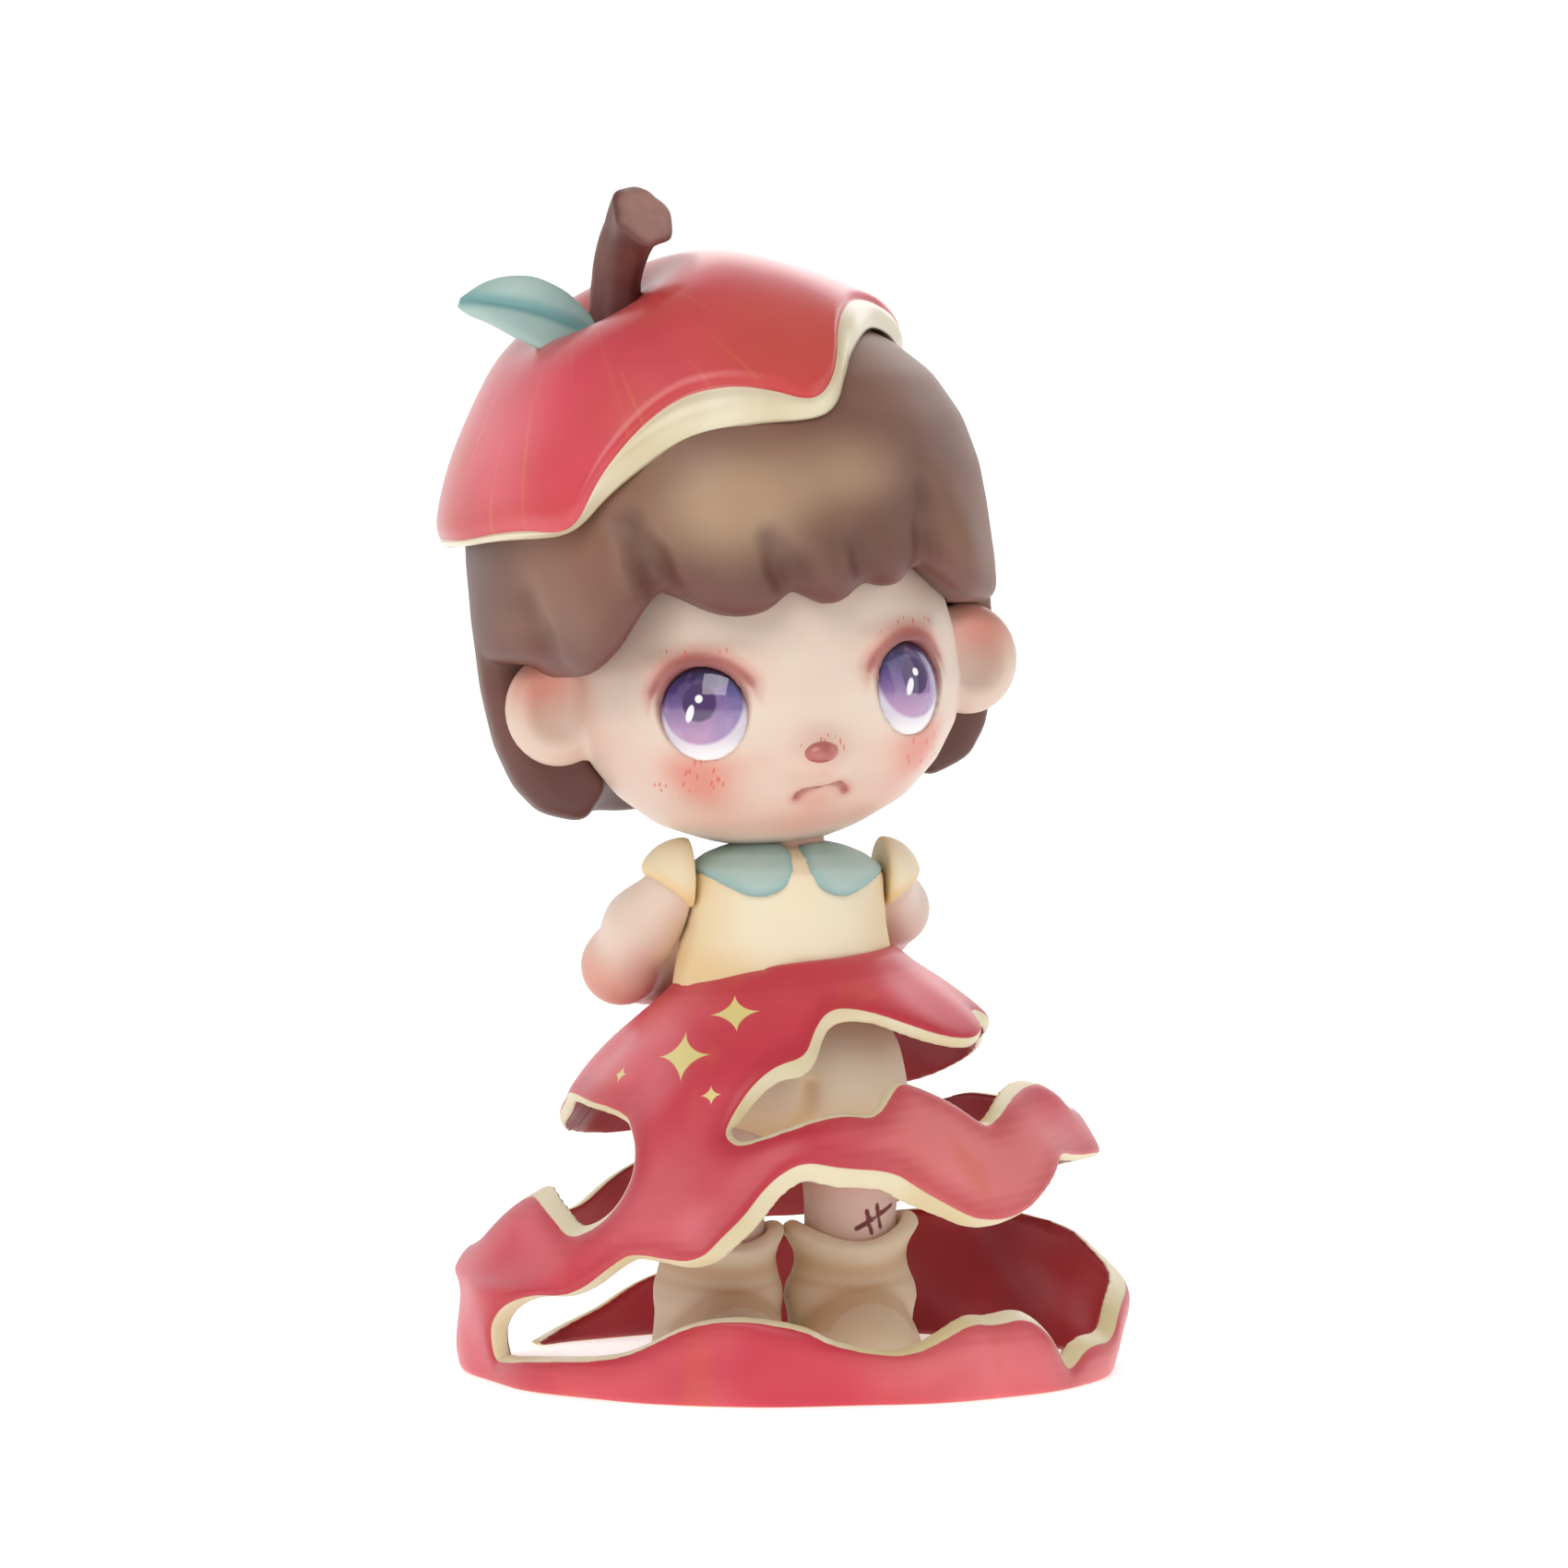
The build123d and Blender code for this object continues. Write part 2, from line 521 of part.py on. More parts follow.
with BuildPart() as shirt:
    for z, half_x, half_y in ((40.5, 12.0, 10.6), (47.0, 11.6, 10.0), (51.0, 11.1, 9.2), (53.6, 10.9, 8.4),
                              (55.5, 8.8, 6.8), (56.2, 6.4, 5.4)):
        with BuildSketch(Plane((FIGURE_X, 0, z))):
            Ellipse(half_x, half_y)
    loft()
    with BuildSketch(waist_plane):
        Rectangle(60, 60)
    extrude(amount=-12, mode=Mode.SUBTRACT)
    with BuildSketch(Plane((FIGURE_X + SHOULDER_HALF + 10, 0, 40))):
        Rectangle(20, 40)
    extrude(amount=30, mode=Mode.SUBTRACT)
    with BuildSketch(Plane((FIGURE_X - SHOULDER_HALF - 10, 0, 40))):
        Rectangle(20, 40)
    extrude(amount=30, mode=Mode.SUBTRACT)
    add(bloomers.part, mode=Mode.SUBTRACT)
    add(neck_post.part, mode=Mode.SUBTRACT)
    add(arm_pegs.part, mode=Mode.SUBTRACT)
shirt.part.label = "shirt"
export_step(shirt.part, "parts/shirt.step")

# The collar: a thin shell over the shirt with two rounded front lobes.
with BuildPart() as collar:
    for z, half_x, half_y in ((47.0, 12.5, 10.9), (51.0, 12.0, 10.1), (53.6, 11.8, 9.3), (55.9, 9.5, 7.5), (56.7, 6.6, 5.6)):
        with BuildSketch(Plane((FIGURE_X, 0, z))):
            Ellipse(half_x, half_y)
    loft()
    with BuildSketch(Plane((FIGURE_X, 0, 50))):
        with BuildLine():
            Spline((0, -5.4), (3.4, -9.6), (7.4, -8.4), (9.2, -4.4), (8.6, 0.0), (7.8, 5.0), (0, 8.2), (-7.8, 5.0),
                   (-8.6, 0.0), (-9.2, -4.4), (-7.4, -8.4), (-3.4, -9.6), (0, -5.4))
        make_face()
    extrude(amount=10, mode=Mode.INTERSECT)
    add(shirt.part, mode=Mode.SUBTRACT)
    add(neck_post.part, mode=Mode.SUBTRACT)
    add(arm_pegs.part, mode=Mode.SUBTRACT)
collar_solids = collar.part.solids().sort_by(SortBy.VOLUME)
print("collar", [round(s.volume, 1) for s in collar_solids])
with BuildPart() as collar_piece:
    add(collar_solids[-1])
collar_piece.part.label = "collar"
export_step(collar_piece.part, "parts/collar.step")

# ---------------------------------------------------------------- legs and boots
with BuildPart() as leg_pins:
    for side in (1, -1):
        with BuildSketch(Plane((FIGURE_X + side * LEG_SPACING, 0, 3.0))):
            Circle(PIN_RADIUS)
        extrude(amount=27.5)
leg_pins.part.label = "leg_pins"
export_step(leg_pins.part, "parts/leg_pins.step")

for side, name in ((1, "left"), (-1, "right")):
    middle_x = FIGURE_X + side * LEG_SPACING
    with BuildPart() as leg:
        with BuildSketch(Plane((middle_x, 0, 7.0))):
            Circle(LEG_RADIUS)
        extrude(amount=20.5)
        with BuildSketch(Plane((middle_x, 0, 27.5))):
            Circle(3.4)
        extrude(amount=5.0)
        add(leg_pins.part, mode=Mode.SUBTRACT)
    leg.part.label = f"{name}_leg"
    export_step(leg.part, f"parts/{name}_leg.step")

    # The boot's foot: a rounded toe on a flat sole, with a socket for the shaft.
    with BuildPart() as boot_foot:
        toe = Vector(middle_x - side * 0.3, -4.2, 0.9)
        with BuildSketch(Plane(toe, x_dir=(1, 0, 0), z_dir=(0, 0, 1))):
            Ellipse(6.9, 8.8)
            with Locations((-10, 0)):
                Rectangle(20, 40, mode=Mode.SUBTRACT)
        revolve(axis=Axis(toe, (0, 1, 0)))
        with BuildSketch(Plane((middle_x, 0.8, 0))):
            Circle(6.6)
        extrude(amount=7.0)
        with BuildSketch(Plane((0, 0, 0))):
            Rectangle(80, 80)
        extrude(amount=-12, mode=Mode.SUBTRACT)
        with BuildSketch(Plane((middle_x, 0, 7.0))):
            Circle(7.3)
        extrude(amount=8, mode=Mode.SUBTRACT)
        add(leg_pins.part, mode=Mode.SUBTRACT)
    boot_foot.part.label = f"{name}_boot_foot"
    export_step(boot_foot.part, f"parts/{name}_boot_foot.step")

    # The boot's shaft: soft folds and a flared cuff.
    with BuildPart() as boot_shaft:
        with BuildSketch(Plane((middle_x, 0, 0), x_dir=(1, 0, 0), z_dir=(0, -1, 0))):
            with BuildLine():
                fold = Spline((6.6, 7.0), (7.2, 8.2), (6.5, 9.6), (7.1, 11.0), (6.3, 12.4), (6.9, 14.2), (7.2, 15.4))
                Polyline(fold @ 1, (5.9, 15.6), (LEG_RADIUS, 14.4), (LEG_RADIUS, 7.0), fold @ 0)
            make_face()
        revolve(axis=Axis((middle_x, 0, 0), (0, 0, 1)))
        add(boot_foot.part, mode=Mode.SUBTRACT)
    boot_shaft.part.label = f"{name}_boot_shaft"
    export_step(boot_shaft.part, f"parts/{name}_boot_shaft.step")

# ---------------------------------------------------------------- arms
# Centre lines from the shoulder to the hand behind the back, measured from the doll's centre plane.
arm_paths = {-1: [(12.2, 0.4, 52.4), (15.2, 4.2, 47.8), (16.2, 9.2, 43.2), (12.0, 15.0, 42.6), (4.4, 17.6, 44.0)],
             1: [(12.0, 0.4, 52.4), (14.1, 7.0, 49.4), (13.5, 12.4, 47.6), (9.2, 17.2, 47.0), (4.4, 18.2, 46.8)]}
arm_radii = (3.4, 3.7, 3.85, 3.4, 3.1)
sleeve_lengths = {-1: 5.5, 1: 4.8}
for side, name in ((1, "left"), (-1, "right")):
    seam_x = FIGURE_X + side * (SHOULDER_HALF + ARM_GAP)
    path_points = [(FIGURE_X + side * x, y, z) for x, y, z in arm_paths[side]]
    with BuildPart() as arm:
        for start, end, start_radius, end_radius in zip(path_points[:-1], path_points[1:], arm_radii[:-1], arm_radii[1:]):
            run = Vector(end) - Vector(start)
            with Locations(Plane(start, z_dir=run)):
                Cone(start_radius, end_radius, run.length, align=(Align.CENTER, Align.CENTER, Align.MIN))
            with Locations(end):
                Sphere(end_radius)
        with BuildSketch(Plane((seam_x, 0, 40), x_dir=(1, 0, 0))):
            with Locations((-side * 10, 0)):
                Rectangle(20, 9.0)
        extrude(amount=30, mode=Mode.SUBTRACT)
        with BuildSketch(Plane((FIGURE_X + side * 14.0, 0, SHOULDER_HEIGHT), z_dir=(-side, 0, 0))):
            Circle(ARM_PEG_RADIUS)
        extrude(amount=7.4)
    with BuildPart() as sleeve:
        middle = Vector(seam_x, 0.2, 52.9)
        with BuildSketch(Plane(middle, x_dir=(side, 0, 0), z_dir=(0, -side, 0))):
            with BuildLine():
                length = sleeve_lengths[side]
                puff = Spline((0, 4.0), (1.6, 4.6), (3.6, 4.1), (length - 0.5, 2.4), (length, 0))
                Polyline(puff @ 1, (0, 0), puff @ 0)
            make_face()
        revolve(axis=Axis(middle, (1, 0, 0)))
        add(arm.part, mode=Mode.SUBTRACT)
    for piece, kind in ((arm, "arm"), (sleeve, "sleeve")):
        print(name, kind, [round(s.volume, 1) for s in piece.part.solids()])
        piece.part.label = f"{name}_{kind}"
        export_step(piece.part, f"parts/{name}_{kind}.step")
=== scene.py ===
import bmesh
import bpy
import numpy as np
import openvdb
from math import cos, sin, radians
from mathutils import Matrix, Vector


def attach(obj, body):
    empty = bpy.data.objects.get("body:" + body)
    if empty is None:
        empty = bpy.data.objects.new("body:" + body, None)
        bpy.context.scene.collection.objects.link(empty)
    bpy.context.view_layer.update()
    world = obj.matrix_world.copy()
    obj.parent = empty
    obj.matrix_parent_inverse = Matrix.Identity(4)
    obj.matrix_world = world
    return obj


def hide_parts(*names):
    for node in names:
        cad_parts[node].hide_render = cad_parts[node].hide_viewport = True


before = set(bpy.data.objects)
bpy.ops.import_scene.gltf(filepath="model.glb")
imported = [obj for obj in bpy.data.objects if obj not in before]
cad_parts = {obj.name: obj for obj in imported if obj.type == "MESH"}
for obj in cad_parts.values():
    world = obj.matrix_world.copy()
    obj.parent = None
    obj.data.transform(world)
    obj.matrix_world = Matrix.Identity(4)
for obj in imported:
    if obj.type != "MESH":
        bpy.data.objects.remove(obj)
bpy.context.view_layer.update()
scene = bpy.context.scene

# ---------------------------------------------------------------- camera, light and floor
# A long lens a little to the doll's right, level with its chin, on a white sweep with soft light all round.
AZIMUTH = radians(-14)
ACROSS_VIEW = np.array([cos(AZIMUTH), sin(AZIMUTH), 0.0])
BACK = np.array([sin(AZIMUTH), -cos(AZIMUTH), 0.0])
aim = ACROSS_VIEW * -0.0007 + np.array([0, 0, 0.0633])
camera = bpy.data.objects.new("camera", bpy.data.cameras.new("camera"))
camera.location = aim + BACK * 0.6 + np.array([0, 0, 0.0097])
camera.rotation_euler = (Vector(aim) - camera.location).to_track_quat("-Z", "Y").to_euler()
camera.data.lens = 127.0
camera.data.sensor_width = 36.0
camera.data.clip_start = 0.01
scene.collection.objects.link(camera)
scene.camera = camera


def lamp(name, place, size, watts, tint):
    """A soft square light that looks at the middle of the doll."""
    data = bpy.data.lights.new(name, "AREA")
    data.size = size
    data.energy = watts
    data.color = tint
    light = bpy.data.objects.new(name, data)
    light.location = place
    light.rotation_euler = (Vector((0, 0, 0.07)) - light.location).to_track_quat("-Z", "Y").to_euler()
    scene.collection.objects.link(light)


lamp("key", (-0.35, -0.55, 0.55), 0.5, 2.25, (1.0, 0.97, 0.94))
lamp("fill", (0.6, -0.35, 0.3), 0.6, 0.75, (0.93, 0.96, 1.0))
lamp("rim", (0.3, 0.6, 0.45), 0.5, 1.0, (1.0, 0.98, 0.96))

# The camera sees plain white behind the floor, and everything else is lit by a soft grey.
world = bpy.data.worlds.new("world")
scene.world = world
world.use_nodes = True
world.node_tree.nodes["Background"].inputs["Color"].default_value = (1, 1, 1, 1)
world.node_tree.nodes["Background"].inputs["Strength"].default_value = 0.37
scene.view_settings.view_transform = "Standard"
sky = world.node_tree
seen = sky.nodes.new("ShaderNodeLightPath").outputs["Is Camera Ray"]
white = sky.nodes.new("ShaderNodeBackground")
share = sky.nodes.new("ShaderNodeMixShader")
sky.links.new(seen, share.inputs[0])
sky.links.new(sky.nodes["Background"].outputs[0], share.inputs[1])
sky.links.new(white.outputs[0], share.inputs[2])
sky.links.new(share.outputs[0], sky.nodes["World Output"].inputs[0])
white.inputs["Color"].default_value = (1, 1, 1, 1)
white.inputs["Strength"].default_value = 1.0


# ---------------------------------------------------------------- the peel dress
# One long strip of moulded apple peel in soft PVC vinyl: a skirt, then a turn round the knees, then a ring on
# the floor.  Sprayed satin red outside, with cream flesh on its thick wavy cut edges, and dark red inside.
def colour(code):
    """Linear RGBA from an sRGB hex code."""
    parts = [int(code[i:i + 2], 16) / 255 for i in (0, 2, 4)]
    return [c / 12.92 if c <= 0.04045 else ((c + 0.055) / 1.055) ** 2.4 for c in parts] + [1.0]


def add(tree, kind, inputs=(), **settings):
    """Adds a shader node: settings are its properties, inputs are (socket, value or other node's socket)."""
    node = tree.nodes.new(kind)
    for key, value in settings.items():
        setattr(node, key, value)
    for socket, value in inputs:
        if isinstance(value, bpy.types.NodeSocket):
            tree.links.new(value, node.inputs[socket])
        else:
            node.inputs[socket].default_value = value
    return node


def surface(name, roughness, coat=0.0, translucent=0.0):
    """A moulded finish: its material, tree, shader still to be coloured, and place on the object."""
    material = bpy.data.materials.new(name)
    material.use_nodes = True
    tree = material.node_tree
    shader = tree.nodes["Principled BSDF"]
    shader.inputs["Roughness"].default_value = roughness
    shader.inputs["Coat Weight"].default_value = coat
    shader.inputs["Coat Roughness"].default_value = 0.25
    shader.inputs["Subsurface Weight"].default_value = translucent
    shader.inputs["Subsurface Scale"].default_value = 0.002
    shader.inputs["Subsurface Radius"].default_value = (1.0, 0.45, 0.3)
    coordinates = add(tree, "ShaderNodeTexCoord").outputs["Object"]
    # Grain 0.7 mm across, which is coarser than moulded vinyl's own, so that it shows.
    grain = add(tree, "ShaderNodeTexNoise", [("Vector", coordinates), ("Scale", 1400.0), ("Detail", 3.0)])
    bump = add(tree, "ShaderNodeBump", [("Height", grain.outputs["Fac"]), ("Strength", 0.04), ("Distance", 0.0002)])
    tree.links.new(bump.outputs["Normal"], shader.inputs["Normal"])
    return material, tree, shader, coordinates


def attribute(tree, name):
    """A number painted on the mesh's points."""
    return add(tree, "ShaderNodeAttribute", attribute_name=name).outputs["Fac"]


def ramp(tree, value, low, high, start=0.0, end=1.0):
    """Maps low..high of a value smoothly to start..end."""
    node = add(tree, "ShaderNodeMapRange", [("Value", value), ("From Min", low), ("From Max", high),
                                            ("To Min", start), ("To Max", end)], interpolation_type="SMOOTHSTEP")
    return node.outputs["Result"]


def mix(tree, share, first, second, blend="MIX"):
    """Colour mix: share is a number or socket, first and second are hex codes or sockets."""
    node = add(tree, "ShaderNodeMix", data_type="RGBA", blend_type=blend)
    for socket, value in ((0, share), (6, first), (7, second)):
        if isinstance(value, bpy.types.NodeSocket):
            tree.links.new(value, node.inputs[socket])
        else:
            node.inputs[socket].default_value = colour(value) if isinstance(value, str) else value
    return node.outputs[2]


def times(tree, first, second, operation="MULTIPLY"):
    """Arithmetic on two numbers or sockets."""
    return add(tree, "ShaderNodeMath", [(0, first), (1, second)], operation=operation).outputs[0]


def noise(tree, vector, scale, detail=2.0, stretch=None):
    """Soft patches over the object: scale is how many to a metre, so 38 makes them 26 mm wide."""
    if stretch:
        vector = add(tree, "ShaderNodeMapping", [("Vector", vector), ("Scale", stretch)]).outputs["Vector"]
    inputs = [("Vector", vector), ("Scale", scale), ("Detail", detail)]
    return add(tree, "ShaderNodeTexNoise", inputs).outputs["Fac"]


def build(name, points, faces, body, material, replaced=(), painted=None, merged=False):
    """A smooth mesh from points in millimetres, on a body in place of CAD nodes; merged closes a tube's ends."""
    mesh = bpy.data.meshes.new(name)
    faces = np.asarray(faces, dtype=np.int32)
    mesh.vertices.add(len(points))
    mesh.vertices.foreach_set("co", (np.asarray(points) * 0.001).astype(np.float32).ravel())
    mesh.loops.add(faces.size)
    mesh.loops.foreach_set("vertex_index", faces.ravel())
    mesh.polygons.add(len(faces))
    mesh.polygons.foreach_set("loop_start", np.arange(0, faces.size, faces.shape[1], dtype=np.int32))
    mesh.update(calc_edges=True)
    mesh.validate()
    mesh.shade_smooth()
    for key, values in (painted or {}).items():
        layer = mesh.attributes.new(key, "FLOAT", "POINT")
        layer.data.foreach_set("value", np.asarray(values, dtype=np.float32))
    if merged:
        shell = bmesh.new()
        shell.from_mesh(mesh)
        bmesh.ops.remove_doubles(shell, verts=shell.verts, dist=1e-7)
        bmesh.ops.recalc_face_normals(shell, faces=shell.faces)
        shell.to_mesh(mesh)
        shell.free()
    mesh.materials.append(material)
    piece = bpy.data.objects.new(name, mesh)
    scene.collection.objects.link(piece)
    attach(piece, body)
    if replaced:
        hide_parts(*replaced)
    return piece


# Sculpted shapes are distance fields in millimetres: negative inside, and meshed where they are zero.  The
# edge where two shapes come together is rounded by a blend radius.
def join(a, b, blend):
    """What is in either shape."""
    h = np.clip(0.5 + 0.5 * (b - a) / blend, 0, 1)
    return b * (1 - h) + a * h - blend * h * (1 - h)


def meet(a, b, blend):
    """What is in both shapes."""
    return -join(-a, -b, blend)


# The strip is drawn flat, as degrees round the doll against millimetres up the peel, and then bent round.
WALL = 2.4
profile_s = [-3, 0, 3, 6, 12, 16, 19, 22, 27.5, 31.8, 34, 38, 40, 42.5, 43.5, 46]
profile_r = [34.6, 35.4, 36.1, 36.3, 36.1, 35.2, 34.0, 32.4, 28.8, 25.0, 23.2, 19.2, 16.8, 13.4, 12.4, 12.2]
skirt_hem = [(-119, 29.1), (-118, 30.8), (-114, 33.6), (-108, 35.3), (-100, 35.7), (-97, 38.0), (-92, 39.7),
             (-85, 40), (-75, 39), (-65, 37.2), (-55, 35.3), (-46, 34.6), (-37, 35.1), (-24, 36.6), (-12, 36.8),
             (-4, 35.0), (8, 33.2), (20, 31.4), (30, 29.7), (41, 28.2), (56, 26.9), (74, 26.4), (94, 25.9),
             (116, 26), (126, 26.8), (146, 28.9), (164, 31.8), (171, 33), (182, 33.2), (194, 32.6), (202, 32.2),
             (212, 31.2), (216, 30.1), (220, 28.4), (222, 26), (222, 24.1), (221, 22.2), (218, 20.5)]
knee_top = [(218, 20.5), (212, 19.5), (205, 21.6), (197, 23.4), (192, 23.4), (184, 21.3), (176, 18),
            (160, 16.6), (144, 16.2), (132, 16.8), (123, 17.2), (118, 19.2), (112, 20.7), (104, 22), (90, 22.9),
            (75, 23.2), (56, 23.9), (40, 24.3), (32, 25.2), (26, 25.1), (14, 24.4), (0, 24), (-12, 24.2),
            (-23, 25.2), (-29, 27.5), (-33, 28.9), (-46, 28.1), (-56, 26.2), (-59, 26), (-62, 27.3),
            (-66, 29.3), (-72, 31.1), (-76, 31.7), (-80, 30.6), (-84, 29.1), (-87, 28.9), (-92, 29.5),
            (-98, 29.4), (-106, 28.6), (-113, 27.8), (-116, 27.8), (-118, 28.5), (-119, 29.1)]
knee_bottom = [(150, -4), (145, 3), (135, 7), (120, 10), (100, 12), (82, 13.2), (74, 13), (56, 13.8),
               (52, 14.3), (30, 16), (8, 17.6), (-14, 19.4), (-32, 20.5), (-40, 21.5), (-44, 21), (-53, 18.5),
               (-58, 17.2), (-64, 16.8), (-70, 17.3), (-74, 19), (-80, 21.6), (-84, 23.7), (-94, 24.7),
               (-101, 25.8), (-106, 24.9), (-110, 23.2), (-113, 21), (-117, 18.9), (-119, 17.5), (-122, 17),
               (-126, 17.4), (-131, 18), (-134, 17.9), (-138, 16.1), (-142, 13.2), (-146, 11.5), (-152, 11.3),
               (-156, 10.4), (-161, 8.4), (-166, 5.8), (-168, 3.0)]
floor_top = [(-168, 3.0), (-166, 2.3), (-153, 3.4), (-139, 4.1), (-132, 4.9), (-127, 6.4), (-123, 7.7),
             (-118, 8.7), (-112, 9), (-106, 8.5), (-101, 7.8), (-98, 6.6), (-90, 5.4), (-84, 5.2), (-78, 6.6),
             (-72, 8.1), (-68, 7.6), (-61, 8.2), (-56, 6.3), (-50, 2.4), (-47, 1.8), (-40, 4), (-30, 3.8),
             (-24, 7.1), (-8, 9.2), (0, 10.3), (8, 11.2), (19, 11.8), (30, 12.3), (42, 12.7), (56, 12.7),
             (76, 10.6), (90, 8.4), (104, 6.2), (110, 4.8), (115, 3.4), (122, 2), (129, 0.8), (134, 0.4),
             (140, -4)]


def rounded(points, passes=3):
    """Cuts a line's corners into a smooth curve that keeps its ends."""
    line = np.asarray(points, float)
    for _ in range(passes):
        inner = np.stack([line[:-1] * 0.75 + line[1:] * 0.25, line[:-1] * 0.25 + line[1:] * 0.75], 1).reshape(-1, 2)
        line = np.concatenate([line[:1], inner, line[-1:]])
    return line


def loop_distance(x, y, loop):
    """Signed distance to a closed loop, negative inside it."""
    best = np.full(x.shape, 1e9)
    inside = np.zeros(x.shape, bool)
    for (ax, ay), (bx, by) in zip(loop, np.roll(loop, -1, axis=0)):
        dx, dy = bx - ax, by - ay
        share = np.clip(((x - ax) * dx + (y - ay) * dy) / (dx * dx + dy * dy + 1e-12), 0, 1)
        best = np.minimum(best, (x - ax - share * dx) ** 2 + (y - ay - share * dy) ** 2)
        crosses = (ay > y) != (by > y)
        inside ^= crosses & (x < dx * (y - ay) / (by - ay if by != ay else 1e-12) + ax)
    return np.where(inside, -1, 1) * np.sqrt(best)


MM_PER_DEGREE = 0.5
FLAT = np.array([MM_PER_DEGREE, 1.0])
upper_slit = rounded(skirt_hem + knee_top[1:-1] + [skirt_hem[0]])[:-1] * FLAT
lower_slit = rounded(knee_bottom + floor_top[1:]) * FLAT
U_LOW, U_HIGH = -220.0, 140.0
STEP_U, STEP_S, STEP_DEEP = 0.3, 0.55, 0.3
WAIST = 43.6
u = np.arange(U_LOW * MM_PER_DEGREE - 1.0, U_HIGH * MM_PER_DEGREE + 1.0, STEP_U)
s = np.arange(-1.2, 45.0, STEP_S)
uu, ss = np.meshgrid(u, s, indexing="ij")
gap = np.full(uu.shape, 1e9)
for turn in (-360 * MM_PER_DEGREE, 0, 360 * MM_PER_DEGREE):
    gap = np.minimum(gap, loop_distance(uu - turn, ss, upper_slit))
    gap = np.minimum(gap, loop_distance(uu - turn, ss, lower_slit))
band = np.maximum(-gap, ss - WAIST)
wrapped = (uu / MM_PER_DEGREE - U_LOW) % 360 + U_LOW


def along_peel(table):
    """A size at every point of the flat strip, from (degrees, mm) points round the doll."""
    return np.interp(wrapped, [a for a, w in table], [w for a, w in table])


# How far the flesh shows past the red skin at each of the strip's four edges, then the lines half-way between.
hem_bevel = along_peel([(-220, 1.7), (-170, 1.5), (-138, 1.1), (-119, 1.2), (-112, 2.2), (-100, 2.9), (-92, 2.6),
                         (-75, 1.6), (-50, 1.5), (-30, 1.8), (-10, 2.0), (20, 1.0), (100, 0.8), (140, 1.4)])
knee_bevel = along_peel([(-220, 0.5), (-150, 0.6), (-126, 1.2), (-112, 2.5), (-95, 3.0), (-84, 2.7), (-75, 1.6),
                          (-60, 0.5), (-30, 0.8), (30, 0.5), (140, 0.5)])
top_bevel = along_peel([(-220, 0.8), (-205, 1.4), (-160, 1.2), (-140, 1.2), (-115, 0.2), (-60, 0.3), (-30, 0.8),
                         (60, 0.5), (140, 0.7)])
floor_bevel = along_peel([(-220, 0.8), (-168, 1.0), (-150, 0.7), (-120, 0.5), (-90, 0.6), (-72, 1.2), (-60, 1.4),
                           (-48, 1.6), (-30, 1.4), (10, 1.2), (60, 1.2), (140, 0.3)])
depth = np.arange(-0.9, WALL + 0.95, STEP_DEEP)
middle_hem = along_peel([(-220, 27), (-140, 27), (-119, 29), (-90, 34.5), (-60, 33), (-30, 31), (30, 27.4),
                         (140, 22)])
middle_knee = along_peel([(-220, 2), (-168, 2.6), (-150, 7.5), (-120, 12.5), (-90, 15), (-60, 12.5), (-30, 12),
                          (30, 14), (90, 10.6), (140, 3)])
middle_ribbon = along_peel([(-220, 10), (-170, 12), (-150, 16), (-138, 22), (-119, 23), (-110, 25.6), (-94, 27),
                            (-84, 26.3), (-76, 25.5), (-66, 23), (-56, 22), (-40, 25), (-25, 23), (0, 21),
                            (30, 20.5), (60, 19), (90, 18), (120, 14), (140, 9)])
bevel = np.where(ss > middle_hem, hem_bevel, np.where(ss > middle_ribbon, top_bevel,
                 np.where(ss > middle_knee, knee_bevel, floor_bevel)))
thick = depth[None, None, :]
edge = band[:, :, None] - bevel[:, :, None] * np.clip(thick / WALL, 0, 1)
skin_in = np.abs(thick - WALL / 2) - WALL / 2
ends = np.maximum(U_LOW * MM_PER_DEGREE - uu, uu - U_HIGH * MM_PER_DEGREE)[:, :, None]
solid = meet(edge, np.broadcast_to(skin_in, edge.shape), 0.9)
solid = np.maximum(np.maximum(solid, ends), -ss[:, :, None])

grid = openvdb.FloatGrid(background=1.0)
grid.copyFromArray(np.clip(solid, -1.0, 1.0).astype(np.float32))
cells, quads = grid.convertToQuads(isovalue=0.0)
around = (cells[:, 0] * STEP_U + u[0]) / MM_PER_DEGREE
up = cells[:, 1] * STEP_S + s[0]
deep = cells[:, 2] * STEP_DEEP + depth[0]
turn = np.radians(around)
radius = np.interp(up, profile_s, profile_r)
radius = (radius + np.interp(up - 0.8, profile_s, profile_r) + np.interp(up + 0.8, profile_s, profile_r)) / 3
sculpt = (0.35 * np.sin(5 * turn + 0.35 * up) + 0.25 * np.sin(9 * turn - 0.5 * up + 1.0)
          + 0.18 * np.sin(14 * turn + 0.22 * up + 2.0)) * np.clip((43 - up) / 8, 0, 1)
reach = radius - deep + sculpt
rise = np.clip((up - 8) / 10, 0, 1)
lean = 0.12 * rise ** 2 * (3 - 2 * rise)
height = up + lean * reach * np.cos(turn)
points = np.stack([reach * np.cos(turn), reach * np.sin(turn), height], -1)

